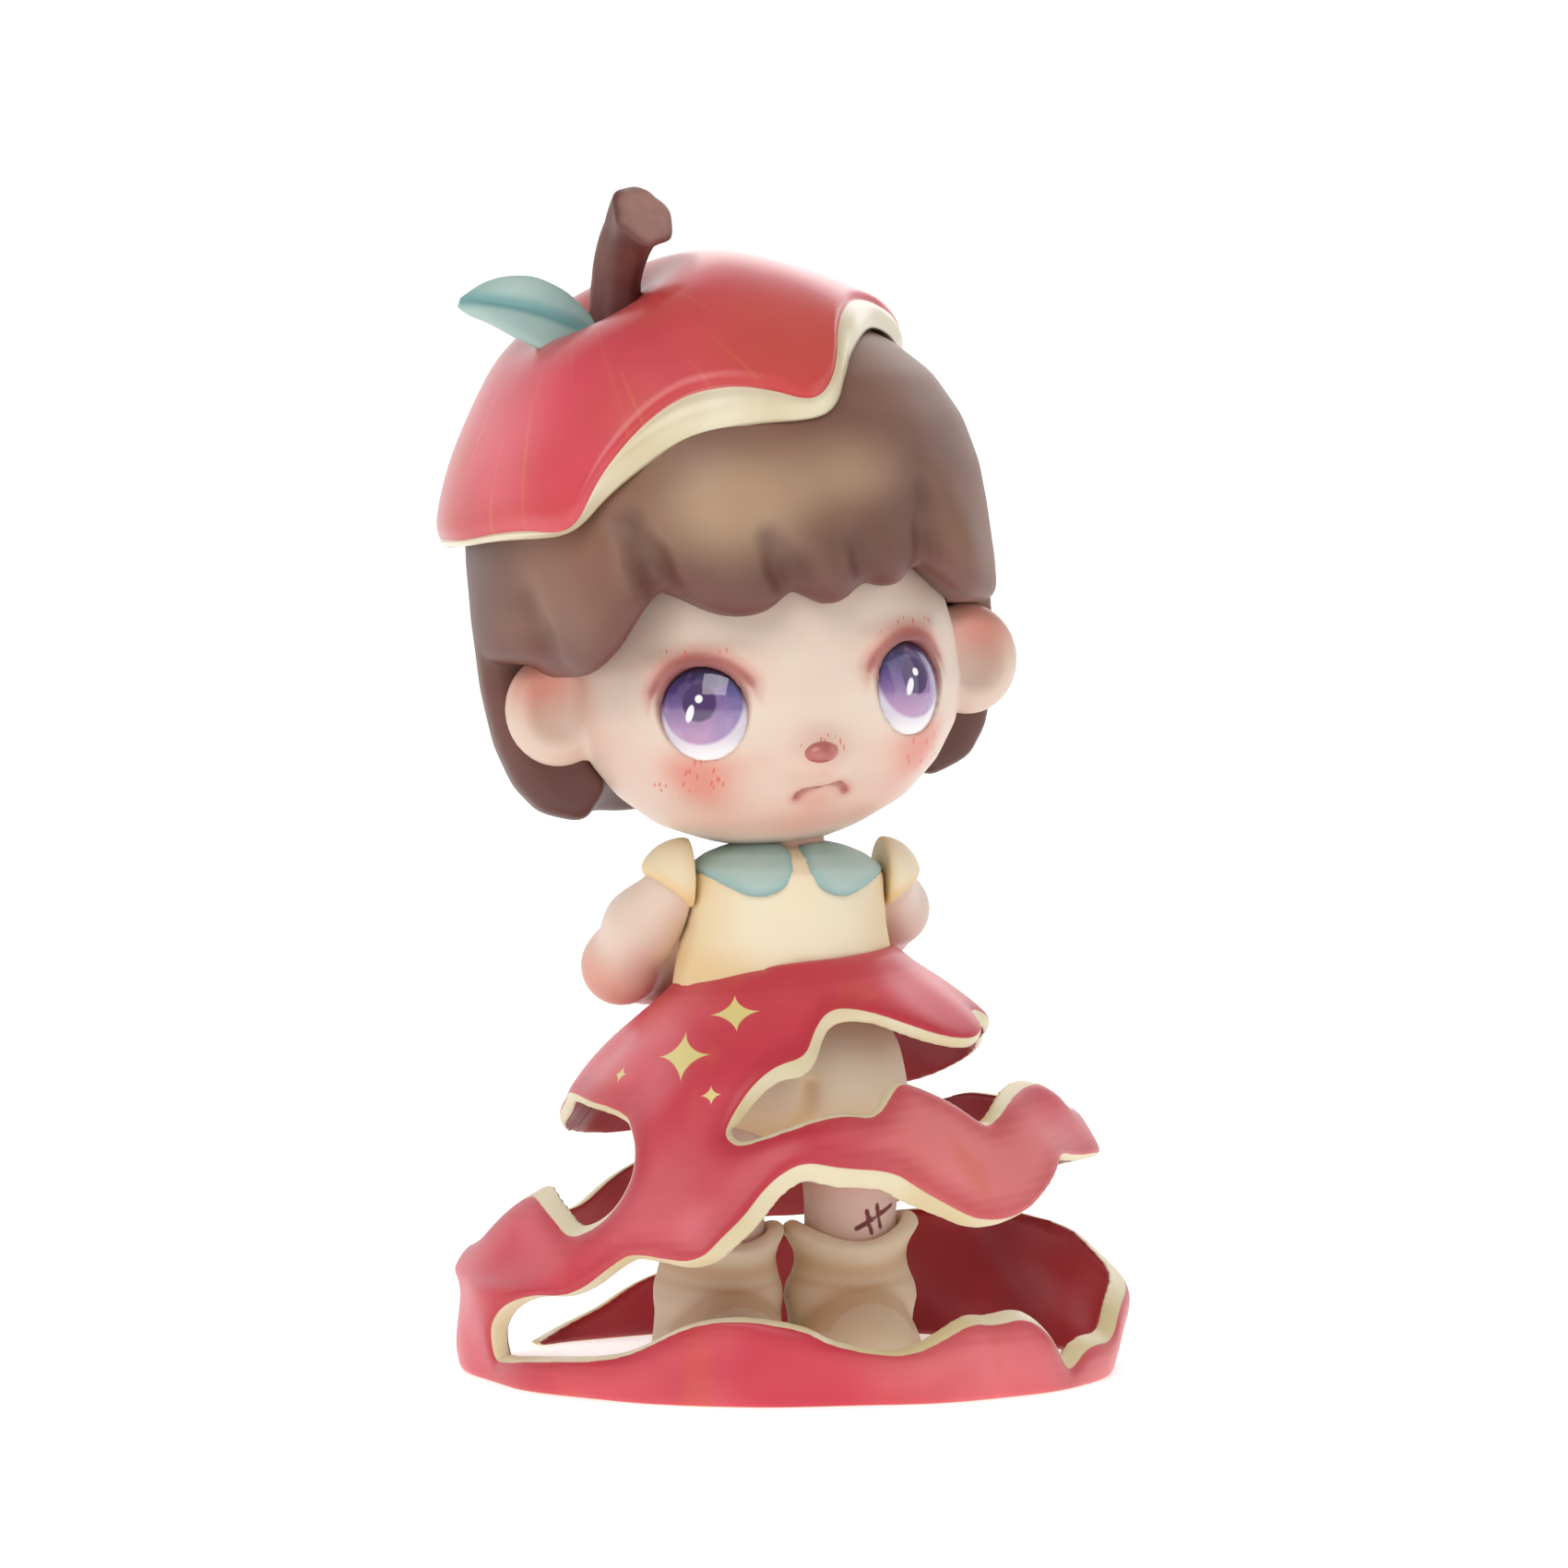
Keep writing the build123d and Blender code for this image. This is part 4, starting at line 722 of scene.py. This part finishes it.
rows, parts, skins = [], [], []
for share in np.concatenate([np.linspace(0.004, 0.93, 64), np.linspace(0.94, 1.0, 10)]):
    elevation = 90 - (90 - red_at) * share
    far, d = hat_reach(np.radians(bearing), np.radians(elevation))
    curl = 0.7 * np.clip((share - 0.93) / 0.07, 0, 1) ** 3
    rows.append(hair_middle + d * (far - curl)[:, None])
    skins.append(np.full(len(bearing), (1 - share) * 60))
    parts.append(np.zeros(len(bearing)))
far_rim, _ = hat_reach(np.radians(bearing), np.radians(red_at))
hair_out, hair_up = [r for r, h in hair_profile], [h - HAIR_MIDDLE_Z for r, h in hair_profile]
hair_angle = np.degrees(np.arctan2(hair_up, hair_out))
hair_reach = np.hypot(hair_up, hair_out)


def lining(d):
    """How far the hat's inside is from the middle of the hair: just off the hair itself."""
    climb = np.degrees(np.arcsin(np.clip(d @ HEAD_Z, -1, 1)))
    return np.maximum(30.5, np.interp(climb, hair_angle, hair_reach) + 1.15 * (d @ HEAD_X) + 0.35)


for share in np.linspace(0.03, 1.0, 12):
    elevation = red_at + (cream_at - red_at) * (0.12 + 0.88 * share)
    d = outward(np.radians(bearing), np.radians(elevation))
    bulge = 0.5 * np.sin(np.pi * share)
    rows.append(hair_middle + d * ((far_rim - 0.75) * (1 - share) + lining(d) * share + bulge)[:, None])
    skins.append(np.full(len(bearing), -1.0))
    parts.append(np.full(len(bearing), 1.0 + share))
for share in np.linspace(0.0, 1.0, 24)[1:]:
    elevation = cream_at + (89.5 - cream_at) * share
    d = outward(np.radians(bearing), np.radians(elevation))
    rows.append(hair_middle + d * (lining(d) - 0.4 * share)[:, None])
    skins.append(np.full(len(bearing), -1.0))
    parts.append(np.full(len(bearing), 3.0))
points, quads = rings(rows)
part_of, rim_gap = ringed(parts), ringed(skins)
off_stem = np.degrees(np.arccos(np.clip((points - hair_middle) @ stem_way
                                        / np.linalg.norm(points - hair_middle, axis=1), -1, 1)))

side_stem = np.cross(stem_way, [0, 1, 0])
side_stem = side_stem / np.linalg.norm(side_stem)
spin_stem = np.arctan2((points - hair_middle) @ np.cross(stem_way, side_stem), (points - hair_middle) @ side_stem)


def attribute_vector(tree, name):
    """The same, as a direction made of three numbers called name_x, name_y and name_z."""
    parts = [(axis, attribute(tree, f"{name}_{axis.lower()}")) for axis in "XYZ"]
    return add(tree, "ShaderNodeCombineXYZ", parts).outputs[0]


rind, tree, shader, place = surface("satin_painted_vinyl_hat", roughness=0.3, coat=0.35, translucent=0.05)
tone = mix(tree, ramp(tree, noise(tree, place, 34.0, 3.0), 0.34, 0.68), "C4303F", "E05061")
tone = mix(tree, ramp(tree, noise(tree, place, 26.0, 2.0), 0.52, 0.74, 0.0, 0.6), tone, "E77C7C")
tone = mix(tree, ramp(tree, noise(tree, place, 30.0, 2.0, (1.0, 1.0, 1.6)), 0.46, 0.7, 0.0, 0.6), tone, "CC4F30")
streak = noise(tree, attribute_vector(tree, "run"), 1.0)
tone = mix(tree, ramp(tree, streak, 0.58, 0.78, 0.0, 0.4), tone, "DB8A45")
tone = mix(tree, ramp(tree, attribute(tree, "off"), 6.0, 26.0, 0.45, 0.0), tone, "B4472B")
tone = mix(tree, ramp(tree, attribute(tree, "rim"), 0.0, 6.0, 0.25, 0.0), tone, "B32838")
cream = mix(tree, ramp(tree, noise(tree, place, 90.0), 0.35, 0.7), "E6DBBF", "D2C29C")
tone = mix(tree, ramp(tree, attribute(tree, "part"), 0.4, 0.6), tone, cream)
tree.links.new(tone, shader.inputs["Base Color"])
build("peel_hat", points, quads, "head", rind, ("hat_peel",),
      {"part": part_of, "rim": rim_gap, "off": off_stem, "run_x": 16 * np.cos(spin_stem),
       "run_y": 16 * np.sin(spin_stem), "run_z": off_stem * 0.025}, merged=True)

# ---------------------------------------------------------------- stem and leaf
# A thick dark stem that bends forward and ends in a cut face, and a plump grey-green leaf folded along its
# middle.
way = np.array([STEM_FOOT - stem_way * 2.0, STEM_FOOT + (-0.1, 0.0, 1.5), (-19.5, -0.1, 115.0),
                (-19.5, -1.2, 118.4), (-19.0, -3.1, 121.4), (-18.3, -5.2, 123.2), (-17.7, -6.6, 124.0)])
t = np.linspace(0, 1, len(way))
fine = np.linspace(0, 1, 60)
spine = np.stack([np.interp(fine, t, way[:, k]) for k in range(3)], -1)
for _ in range(30):
    spine[1:-1] = (spine[:-2] + spine[2:] + 2 * spine[1:-1]) / 4
size = np.interp(fine, [0, 0.15, 0.45, 0.75, 0.9, 0.97, 1.0], [3.7, 3.0, 2.6, 2.9, 3.5, 3.75, 3.5])
heading = np.gradient(spine, axis=0)
heading = heading / np.linalg.norm(heading, axis=1, keepdims=True)
side_way = np.cross(heading, [0, 1, 0])
side_way = side_way / np.linalg.norm(side_way, axis=1, keepdims=True)
other_way = np.cross(heading, side_way)
spin = np.radians(np.arange(0, 360, 7.5))
facet = 1 + 0.035 * np.cos(6 * spin)[None, :] + 0.03 * np.cos(3 * spin + 1)[None, :] * fine[:, None]
rows = (spine[:, None] + size[:, None, None] * facet[..., None]
        * (np.cos(spin)[None, :, None] * side_way[:, None] + np.sin(spin)[None, :, None] * other_way[:, None]))
end = rows[-1]
middle = end.mean(0)
for share, lift in ((0.86, 0.42), (0.62, 0.55), (0.38, 0.25), (0.12, 0.3), (0.02, 0.3)):
    wobble = 0.12 * share * np.cos(5 * spin)[:, None] * heading[-1]
    rows = np.concatenate([rows, (middle + (end - middle) * share + heading[-1] * lift + wobble)[None]])
points, quads = rings(rows)
stem_paint, tree, shader, place = surface("matt_painted_vinyl_stem", roughness=0.5, coat=0.1)
tone = mix(tree, ramp(tree, noise(tree, place, 90.0, 3.0, (2, 2, 0.4)), 0.35, 0.7), "5E342F", "7B4A41")
cut_share = ringed(np.repeat(np.append(np.zeros(len(fine)), [0.7, 1, 1, 1, 1])[:, None], len(spin), 1))
tone = mix(tree, attribute(tree, "cut"), tone, "A0766B")
tree.links.new(tone, shader.inputs["Base Color"])
build("stem", points, quads, "head", stem_paint, ("hat_stem", "hat_post"), {"cut": cut_share}, merged=True)

foot, tip_at = np.array([-20.4, 0.2, 110.6]), np.array([-35.8, 2.6, 115.6])
run = tip_at - foot
out = np.array([-0.25, -0.84, 0.48])
out = out - run * (out @ run) / (run @ run)
out = out / np.linalg.norm(out)
up_way = np.cross(run / np.linalg.norm(run), out)
up_way = up_way * np.sign(up_way[2])
along = np.linspace(0, 1, 56)
upper = np.interp(along, [0, 0.12, 0.35, 0.6, 0.8, 0.93, 1.0], [1.0, 1.9, 3.4, 3.9, 3.2, 2.0, 0.5])
lower = np.interp(along, [0, 0.12, 0.35, 0.6, 0.8, 0.93, 1.0], [1.2, 3.4, 5.0, 3.9, 2.2, 1.5, 0.5])
for _ in range(8):
    upper[1:-1] = (upper[:-2] + upper[2:]) / 2
    lower[1:-1] = (lower[:-2] + lower[2:]) / 2
bend = 1.6 * np.sin(np.pi * along) - 1.2 * along ** 3
spin = np.radians(np.arange(0, 360, 6.0))
cos_s, sin_s = np.cos(spin), np.sin(spin)
width = np.where(cos_s[None] > 0, upper[:, None], lower[:, None]) * cos_s[None]
plump = 1.25 * np.minimum(1, 8 * (1.02 - along))[:, None] ** 0.5 * np.sign(sin_s) * np.abs(sin_s) ** 0.8
fold = -0.6 * np.exp(-(width / 0.6) ** 2) * (sin_s > 0) * np.minimum(1, 6 * along * (1 - along))[:, None]
camber = 0.9 * (np.abs(width) / 3.6) ** 1.5
rows = (foot + along[:, None, None] * run + width[..., None] * up_way
        + (plump + fold + camber + bend[:, None])[..., None] * out)
points, quads = rings(rows)
leaf, tree, shader, place = surface("matt_painted_vinyl_leaf", roughness=0.5, translucent=0.05)
tone = mix(tree, ramp(tree, noise(tree, place, 70.0), 0.35, 0.7), "B3CCC5", "98BBB6")
tone = mix(tree, ramp(tree, attribute(tree, "rib"), 0.0, 1.5, 0.75, 0.0), tone, "5F9FA0")
tree.links.new(tone, shader.inputs["Base Color"])
build("leaf", points, quads, "head", leaf, ("hat_leaf",),
      {"rib": ringed(np.abs(width))}, merged=True)

# ---------------------------------------------------------------- shirt and collar
# Both are hard vinyl moulded as cloth, with matt paint: a cream shirt with painted shade at its sides, towards the
# waist and under the collar, and a round two-lobed collar in grey-green laid over it.
MID = -0.7
shirt_wide = [(12.3, 41.5), (12.0, 44.0), (11.6, 47.5), (11.1, 51.0), (10.9, 53.6), (9.0, 55.4), (6.4, 56.3),
              (4.5, 56.6)]
low = (-13.6, -13.0, 41.0)
step = 0.35
p = lattice(low, (12.2, 13.0, 57.8), step)
x, y, z = p
chest = turned(p, shirt_wide, (MID, 0), 0.86)
chest = meet(chest, np.abs(x - MID) - 10.55 - 1.5 * np.clip((48 - z) / 6, 0, 1), 0.5)
lines = chest + 0.10 * np.sin(1.1 * x + 0.5 * z) * np.clip((50 - z) / 6, 0, 1) * (np.abs(y) > 4)
points, quads = meshed(lines, low, step)
cream_paint, tree, shader, place = surface("matt_painted_vinyl_clothes", roughness=0.6, translucent=0.06)
tone = mix(tree, ramp(tree, noise(tree, place, 60.0), 0.35, 0.7), "F1E5C8", "EAD9B6")
# Painted shade: a deeper yellow cream where the shirt, sleeves and bloomers turn away, meet other parts or crease.
tone = mix(tree, ramp(tree, attribute(tree, "painted_shade"), 0.0, 1.0, 0.0, 0.8), tone, "E9C98C")
tree.links.new(tone, shader.inputs["Base Color"])
x, y, z = points.T
# Painted shade at the shirt's sides, towards the waist and under the collar.
painted_shade = (np.clip(np.abs(x - MID) / 9.5 - 0.55, 0, 1) + np.clip((46.5 - z) / 5, 0, 1) * 0.8
        + np.clip((z - 52) / 6, 0, 1) * 0.4)
build("shirt_cloth", points, quads, "doll", cream_paint, ("shirt",), {"painted_shade": painted_shade})


def lobes(x, z):
    """Distances to the collar's right and left lobes, seen from the front."""
    return rod((x, z), (-5.7, 55.6), (-10.5, 58.6), 4.3, 4.8), rod((x, z), (3.5, 55.4), (9.0, 58.6), 4.1, 4.8)


x, y, z = p
lapels = join(*lobes(x, z), 0.05)
behind = np.maximum(53.6 - z, 1.5 - y)
drape = np.minimum(np.where(y < 2.5, lapels, 9.0), behind)
collar_wide = [(13.2, 44.0), (12.8, 47.5), (12.3, 50.5), (11.8, 52.6), (10.7, 54.4), (8.7, 55.9), (6.4, 56.8),
               (4.4, 57.2)]
outer = np.maximum(turned(p, collar_wide, (MID, 0), 0.86), np.abs(x - MID) - 10.7)
collar = meet(np.maximum(outer, -(chest + 0.5)), drape, 1.1)
collar = np.maximum(collar, 4.4 - np.hypot(x - MID, y))
points, quads = meshed(collar, low, step)
collar_paint, tree, shader, place = surface("matt_painted_vinyl_collar", roughness=0.55, translucent=0.05)
tone = mix(tree, ramp(tree, noise(tree, place, 80.0), 0.35, 0.7), "B9D0C9", "A0BFB9")
tone = mix(tree, ramp(tree, attribute(tree, "hem"), 0.0, 1.6, 0.55, 0.0), tone, "6FA3A4")
tree.links.new(tone, shader.inputs["Base Color"])
x, y, z = points.T
hem = np.abs(np.minimum(*lobes(x, z)))
build("collar_lobes", points, quads, "doll", collar_paint, ("collar",), {"hem": hem})

# ---------------------------------------------------------------- arms and sleeves
# Satin painted vinyl: round arms that go back behind the waist, with mitten hands.  A matt cream cap sleeve is
# moulded over each shoulder and turns with its arm.
limb, tree, shader, place = surface("satin_painted_vinyl_limbs", roughness=0.45, coat=0.05, translucent=0.12)
tone = mix(tree, ramp(tree, noise(tree, place, 55.0), 0.3, 0.7), "E6D0BF", "DCC3B3")
tone = mix(tree, ramp(tree, attribute(tree, "blush"), 0.0, 1.0, 0.0, 0.75), tone, "DE8B78")
tone = mix(tree, ramp(tree, attribute(tree, "mark"), 0.14, 0.3, 1.0, 0.0), tone, "74241F")
tree.links.new(tone, shader.inputs["Base Color"])
arm_paths = {-1: [(11.6, 0.4, 52.4), (14.9, 4.2, 47.9), (16.1, 9.2, 43.4), (12.0, 15.0, 42.7), (4.6, 17.6, 44.0)],
             1: [(11.4, 0.4, 52.4), (13.9, 7.0, 49.4), (13.4, 12.4, 47.6), (9.2, 17.2, 47.0), (4.6, 18.2, 46.8)]}
arm_rooms = {-1: ((-21.5, -5.6, 37.0), (-1.0, 22.5, 58.5)), 1: ((0.0, -5.6, 41.5), (18.8, 22.5, 58.5))}
ARM_STEP, SLEEVE_STEP = 0.35, 0.3


def sleeve_hem(out_x, z):
    """How far a point is past the slanting plane that a sleeve ends at."""
    return (out_x - 13.3) * 0.62 - (z - 52.0) * 0.78


for side, path in arm_paths.items():
    name = "left" if side > 0 else "right"
    low, high = arm_rooms[side]
    p = lattice(low, high, ARM_STEP)
    spots = [(MID + side * a, b, c) for a, b, c in path]
    arm = rod(p, spots[0], spots[1], 3.3, 3.65)
    for first, second, r0, r1 in zip(spots[1:-1], spots[2:], (3.65, 3.8, 3.4), (3.8, 3.4, 2.9)):
        arm = join(arm, rod(p, first, second, r0, r1), 2.4)
    hand = spots[-1]
    arm = join(arm, ball(p, hand, (3.3, 2.7, 3.0)), 1.2)
    thumb = ((hand[0] + side * 1.0, hand[1] + 0.6, hand[2] + 1.6),
             (hand[0] - side * 1.4, hand[1] + 1.2, hand[2] + 2.6))
    arm = join(arm, rod(p, *thumb, 1.1, 0.9), 0.6)
    seam = side * (p[0] - MID) - 10.8
    arm = np.where((p[1] < 5.5) & (p[2] > 47.5), np.maximum(arm, -seam), arm)
    points, quads = meshed(arm, low, ARM_STEP)
    elbow = np.array(spots[2])
    blush = np.exp(-((points - (elbow + (side * 2.5, -0.5, -1.5))) ** 2).sum(1) / 22.0)
    blush += 0.5 * np.exp(-((points - hand) ** 2).sum(1) / 10.0)
    build(f"{name}_arm_skin", points, quads, f"{name}_arm", limb, (f"{name}_arm",),
          {"blush": blush, "mark": np.full(len(points), FAR_OFF)})

    shoulder = MID + side * 10.4
    low = (shoulder - 8 * (side < 0), -6.5, 46.0)
    p = lattice(low, (shoulder + 8 * (side > 0), 6.5, 59.5), SLEEVE_STEP)
    cap = ball(p, (MID + side * 10.9, 0.2, 52.9), (5.2 if side < 0 else 4.4, 4.7, 4.7))
    out_x = side * (p[0] - MID)
    cap = meet(cap, sleeve_hem(out_x, p[2]), 0.9)
    cap = np.maximum(cap, 10.8 - out_x)
    points, quads = meshed(cap, low, SLEEVE_STEP)
    x, y, z = points.T
    out_x = side * (x - MID)
    # Painted shade at the sleeve's hem and where the sleeve meets the shirt.
    painted_shade = np.clip(sleeve_hem(out_x, z) + 1.4, 0, 1) * 0.7 + np.clip(12.2 - out_x, 0, 1) * 0.5
    build(f"{name}_sleeve_cap", points, quads, f"{name}_arm", cream_paint, (f"{name}_sleeve",),
          {"painted_shade": painted_shade})

# ---------------------------------------------------------------- bloomers, legs and boots
# Matt painted vinyl bloomers moulded as cloth, straight satin legs (the left with a small sewn mark), and matt
# slouch boots moulded as soft leather, with a flared cuff.
LEG_OUT, LEG_STEP, BOOT_STEP = 7.4, 0.3, 0.35
low = (-15.0, -13.0, 24.5)
step = 0.4
p = lattice(low, (13.6, 13.0, 42.0), step)
puff = ball(p, (MID, 0, 33.0), (12.9, 11.6, 8.6))
for side in (-1, 1):
    puff = join(puff, ball(p, (MID + side * 6.6, 0, 29.9), (6.9, 7.2, 5.0)), 1.8)
    puff = carve(puff, rod(p, (MID + side * LEG_OUT, 0, 20), (MID + side * LEG_OUT, 0, 27.4), 5.3, 5.3), 0.9)
puff = carve(puff, rod(p, (MID, -10.5, 24), (MID, -10.5, 31.5), 0.7, 0.3), 2.0)
puff = np.maximum(puff, p[2] - 41.5)
points, quads = meshed(puff, low, step)
x, y, z = points.T
# Painted shade on the lower part of the bloomers and in the crease down the front.
painted_shade = np.clip((30.5 - z) / 5, 0, 1) * 0.8 + 0.5 * np.exp(-((x - MID) / 1.4) ** 2) * (y < 0) * (z < 33)
build("bloomers_cloth", points, quads, "doll", cream_paint, ("bloomers",), {"painted_shade": painted_shade})

mark_lines = [((-97, 15.3), (-46, 17.7)), ((-84, 17.2), (-77, 14.8)), ((-71, 17.9), (-64, 15.4))]
for side in (-1, 1):
    name = "left" if side > 0 else "right"
    middle = MID + side * LEG_OUT
    low = (middle - 5.9, -5.9, 7.0)
    p = lattice(low, (middle + 5.9, 5.9, 31.0), LEG_STEP)
    knee = ball(p, (middle, -1.2, 20.5), (4.6, 4.3, 3.4))
    leg = join(rod(p, (middle, 0, 6.0), (middle, 0, 28.0), 4.95, 5.1), knee, 2.0)
    leg = np.maximum(leg, p[2] - 29.5)
    points, quads = meshed(leg, low, LEG_STEP)
    x, y, z = points.T
    mark = np.full(len(points), FAR_OFF)
    if side > 0:
        for (a0, h0), (a1, h1) in mark_lines:
            ends_at = [(middle + 5.1 * cos(radians(a)), 5.1 * sin(radians(a)), h) for a, h in ((a0, h0), (a1, h1))]
            half_way = radians((a0 + a1) / 2)
            centre_at = (middle + 5.25 * cos(half_way), 5.25 * sin(half_way), (h0 + h1) / 2)
            for start, end in ((ends_at[0], centre_at), (centre_at, ends_at[1])):
                mark = np.minimum(mark, rod((x, y, z), start, end, 0.06, 0.06))
    blush = 0.45 * np.exp(-((z - 20.5) / 2.6) ** 2) * (y < 0) + 0.7 * np.clip((15.5 - z) / 3, 0, 1)
    build(f"{name}_leg_skin", points, quads, "doll", limb, (f"{name}_leg",), {"blush": blush, "mark": mark})

boot_paint, tree, shader, place = surface("matt_painted_vinyl_boots", roughness=0.6, translucent=0.05)
tone = mix(tree, ramp(tree, noise(tree, place, 55.0, 3.0), 0.35, 0.7), "F0E4C8", "E6D5B0")
# Painted shade: a darker tan in the shaft's folds, along the toe's seam and at the bottom of the boot.
tone = mix(tree, ramp(tree, attribute(tree, "fold"), 0.0, 1.4, 0.0, 0.65), tone, "D2A970")
tree.links.new(tone, shader.inputs["Base Color"])


def toe(p, middle, side):
    """Distance to the round foot of a boot."""
    return ball(p, (middle - side * 0.2, -4.9, 0.5), (6.9, 8.2, 8.6))


def slouch(p, middle, side):
    """The bearing round a boot's shaft, and the height up it less the dip and rise of its cuff."""
    x, y, z = p
    spin = np.arctan2(y, x - middle)
    lift = 1.15 * np.cos(2 * spin) + 0.45 * np.cos(spin) * side
    return spin, z - lift * np.clip((z - 8) / 6, 0, 1)


for side in (-1, 1):
    name = "left" if side > 0 else "right"
    middle = MID + side * LEG_OUT
    low = (middle - 8.8, -14.0, -0.6)
    p = lattice(low, (middle + 8.8, 9.0, 18.6), BOOT_STEP)
    x, y, z = p
    heel = ball(p, (middle, 1.2, 2.2), (6.9, 6.6, 5.6))
    spin, climb = slouch(p, middle, side)
    shaft_r = np.interp(climb, [4, 6.4, 7.6, 8.8, 10.0, 11.0, 12.0, 13.0, 14.2, 15.4, 16.2],
                        [6.9, 7.0, 7.15, 6.95, 6.45, 6.25, 6.3, 6.75, 7.4, 7.45, 6.9])
    wide = np.hypot(x - middle, y * 1.04) - shaft_r - 0.15 * np.sin(2 * spin + 0.9 * z + side)
    shaft = meet(wide, climb - 15.3, 1.6)
    boot = join(shaft, join(toe(p, middle, side), heel, 2.4), 0.5)
    boot = carve(boot, rod(p, (middle, 0, 13.2), (middle, 0, 20), 4.9, 6.2), 1.2)
    boot = np.maximum(boot, side * (MID - x))
    boot = np.maximum(boot, -z)
    points, quads = meshed(boot, low, BOOT_STEP)
    x, y, z = points.T
    climb = slouch((x, y, z), middle, side)[1]
    out = np.hypot(x - middle, y)
    # Painted shade in the folds, along the toe's seam and near the floor.
    fold = (np.exp(-((climb - 11.3) / 1.3) ** 2) + 0.6 * np.exp(-((climb - 9.4) / 0.5) ** 2)) * (out < 8)
    toe_line = np.abs(toe((x, y, z), middle, side))
    fold = fold + 0.8 * np.exp(-(toe_line / 0.8) ** 2) * (z > 4.5) * (out > 6.4) * (y < 0)
    fold = fold * (y > -9.5) + 0.3 * np.clip((1.2 - z) / 1.2, 0, 1)
    build(f"{name}_boot", points, quads, "doll", boot_paint, (f"{name}_boot_foot", f"{name}_boot_shaft"),
          {"fold": fold})

# ---------------------------------------------------------------- moulded parts inside
# The neck is the same vinyl as the face; the pins and screws are plain steel, and the rest is white plastic.
steel, tree, shader, place = surface("plain_steel", roughness=0.35)
shader.inputs["Metallic"].default_value = 1.0
tree.links.new(mix(tree, noise(tree, place, 300.0), "A8AAAE", "C2C4C8"), shader.inputs["Base Color"])
plain, tree, shader, place = surface("moulded_plain_plastic", roughness=0.5)
tree.links.new(mix(tree, noise(tree, place, 120.0), "DADAD6", "ECECE8"), shader.inputs["Base Color"])
neck_skin, tree, shader, place = surface("moulded_vinyl_neck", roughness=0.45, translucent=0.1)
tone = mix(tree, ramp(tree, noise(tree, place, 120.0), 0.3, 0.7), "D9A692", "E0B5A3")
tree.links.new(tone, shader.inputs["Base Color"])
for names, material in ((("leg_pins", "bracket_screws"), steel), (("neck_post",), neck_skin),
                        (("eye_bracket", "crown_plug", "neck_socket"), plain)):
    for name in names:
        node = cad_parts[name]
        for material_slot in node.material_slots:
            material_slot.material = material

# ---------------------------------------------------------------- floor
# A white paper sweep that curves up behind the doll, and glows a little so that it stays white.
bend = [(1.2 + 0.6 * sin(a), 0.6 - 0.6 * cos(a)) for a in np.radians(np.linspace(0, 90, 13))]
line = [(-3.0, 0.0)] + bend + [(1.8, 4.0)]
corners = [(side * 4.0, depth_y, height_z) for depth_y, height_z in line for side in (-1, 1)]
floor_mesh = bpy.data.meshes.new("floor")
floor_mesh.from_pydata(corners, [], [(2 * k, 2 * k + 1, 2 * k + 3, 2 * k + 2) for k in range(len(line) - 1)])
floor_mesh.shade_smooth()
floor = bpy.data.objects.new("floor", floor_mesh)
scene.collection.objects.link(floor)
paper, tree, shader, place = surface("white_paper_sweep", roughness=0.9)
tone = mix(tree, ramp(tree, noise(tree, place, 3.0), 0.3, 0.7), "FBFBFB", "FFFFFF")
tree.links.new(tone, shader.inputs["Base Color"])
shader.inputs["Emission Color"].default_value = (1, 1, 1, 1)
shader.inputs["Emission Strength"].default_value = 0.5
floor_mesh.materials.append(paper)
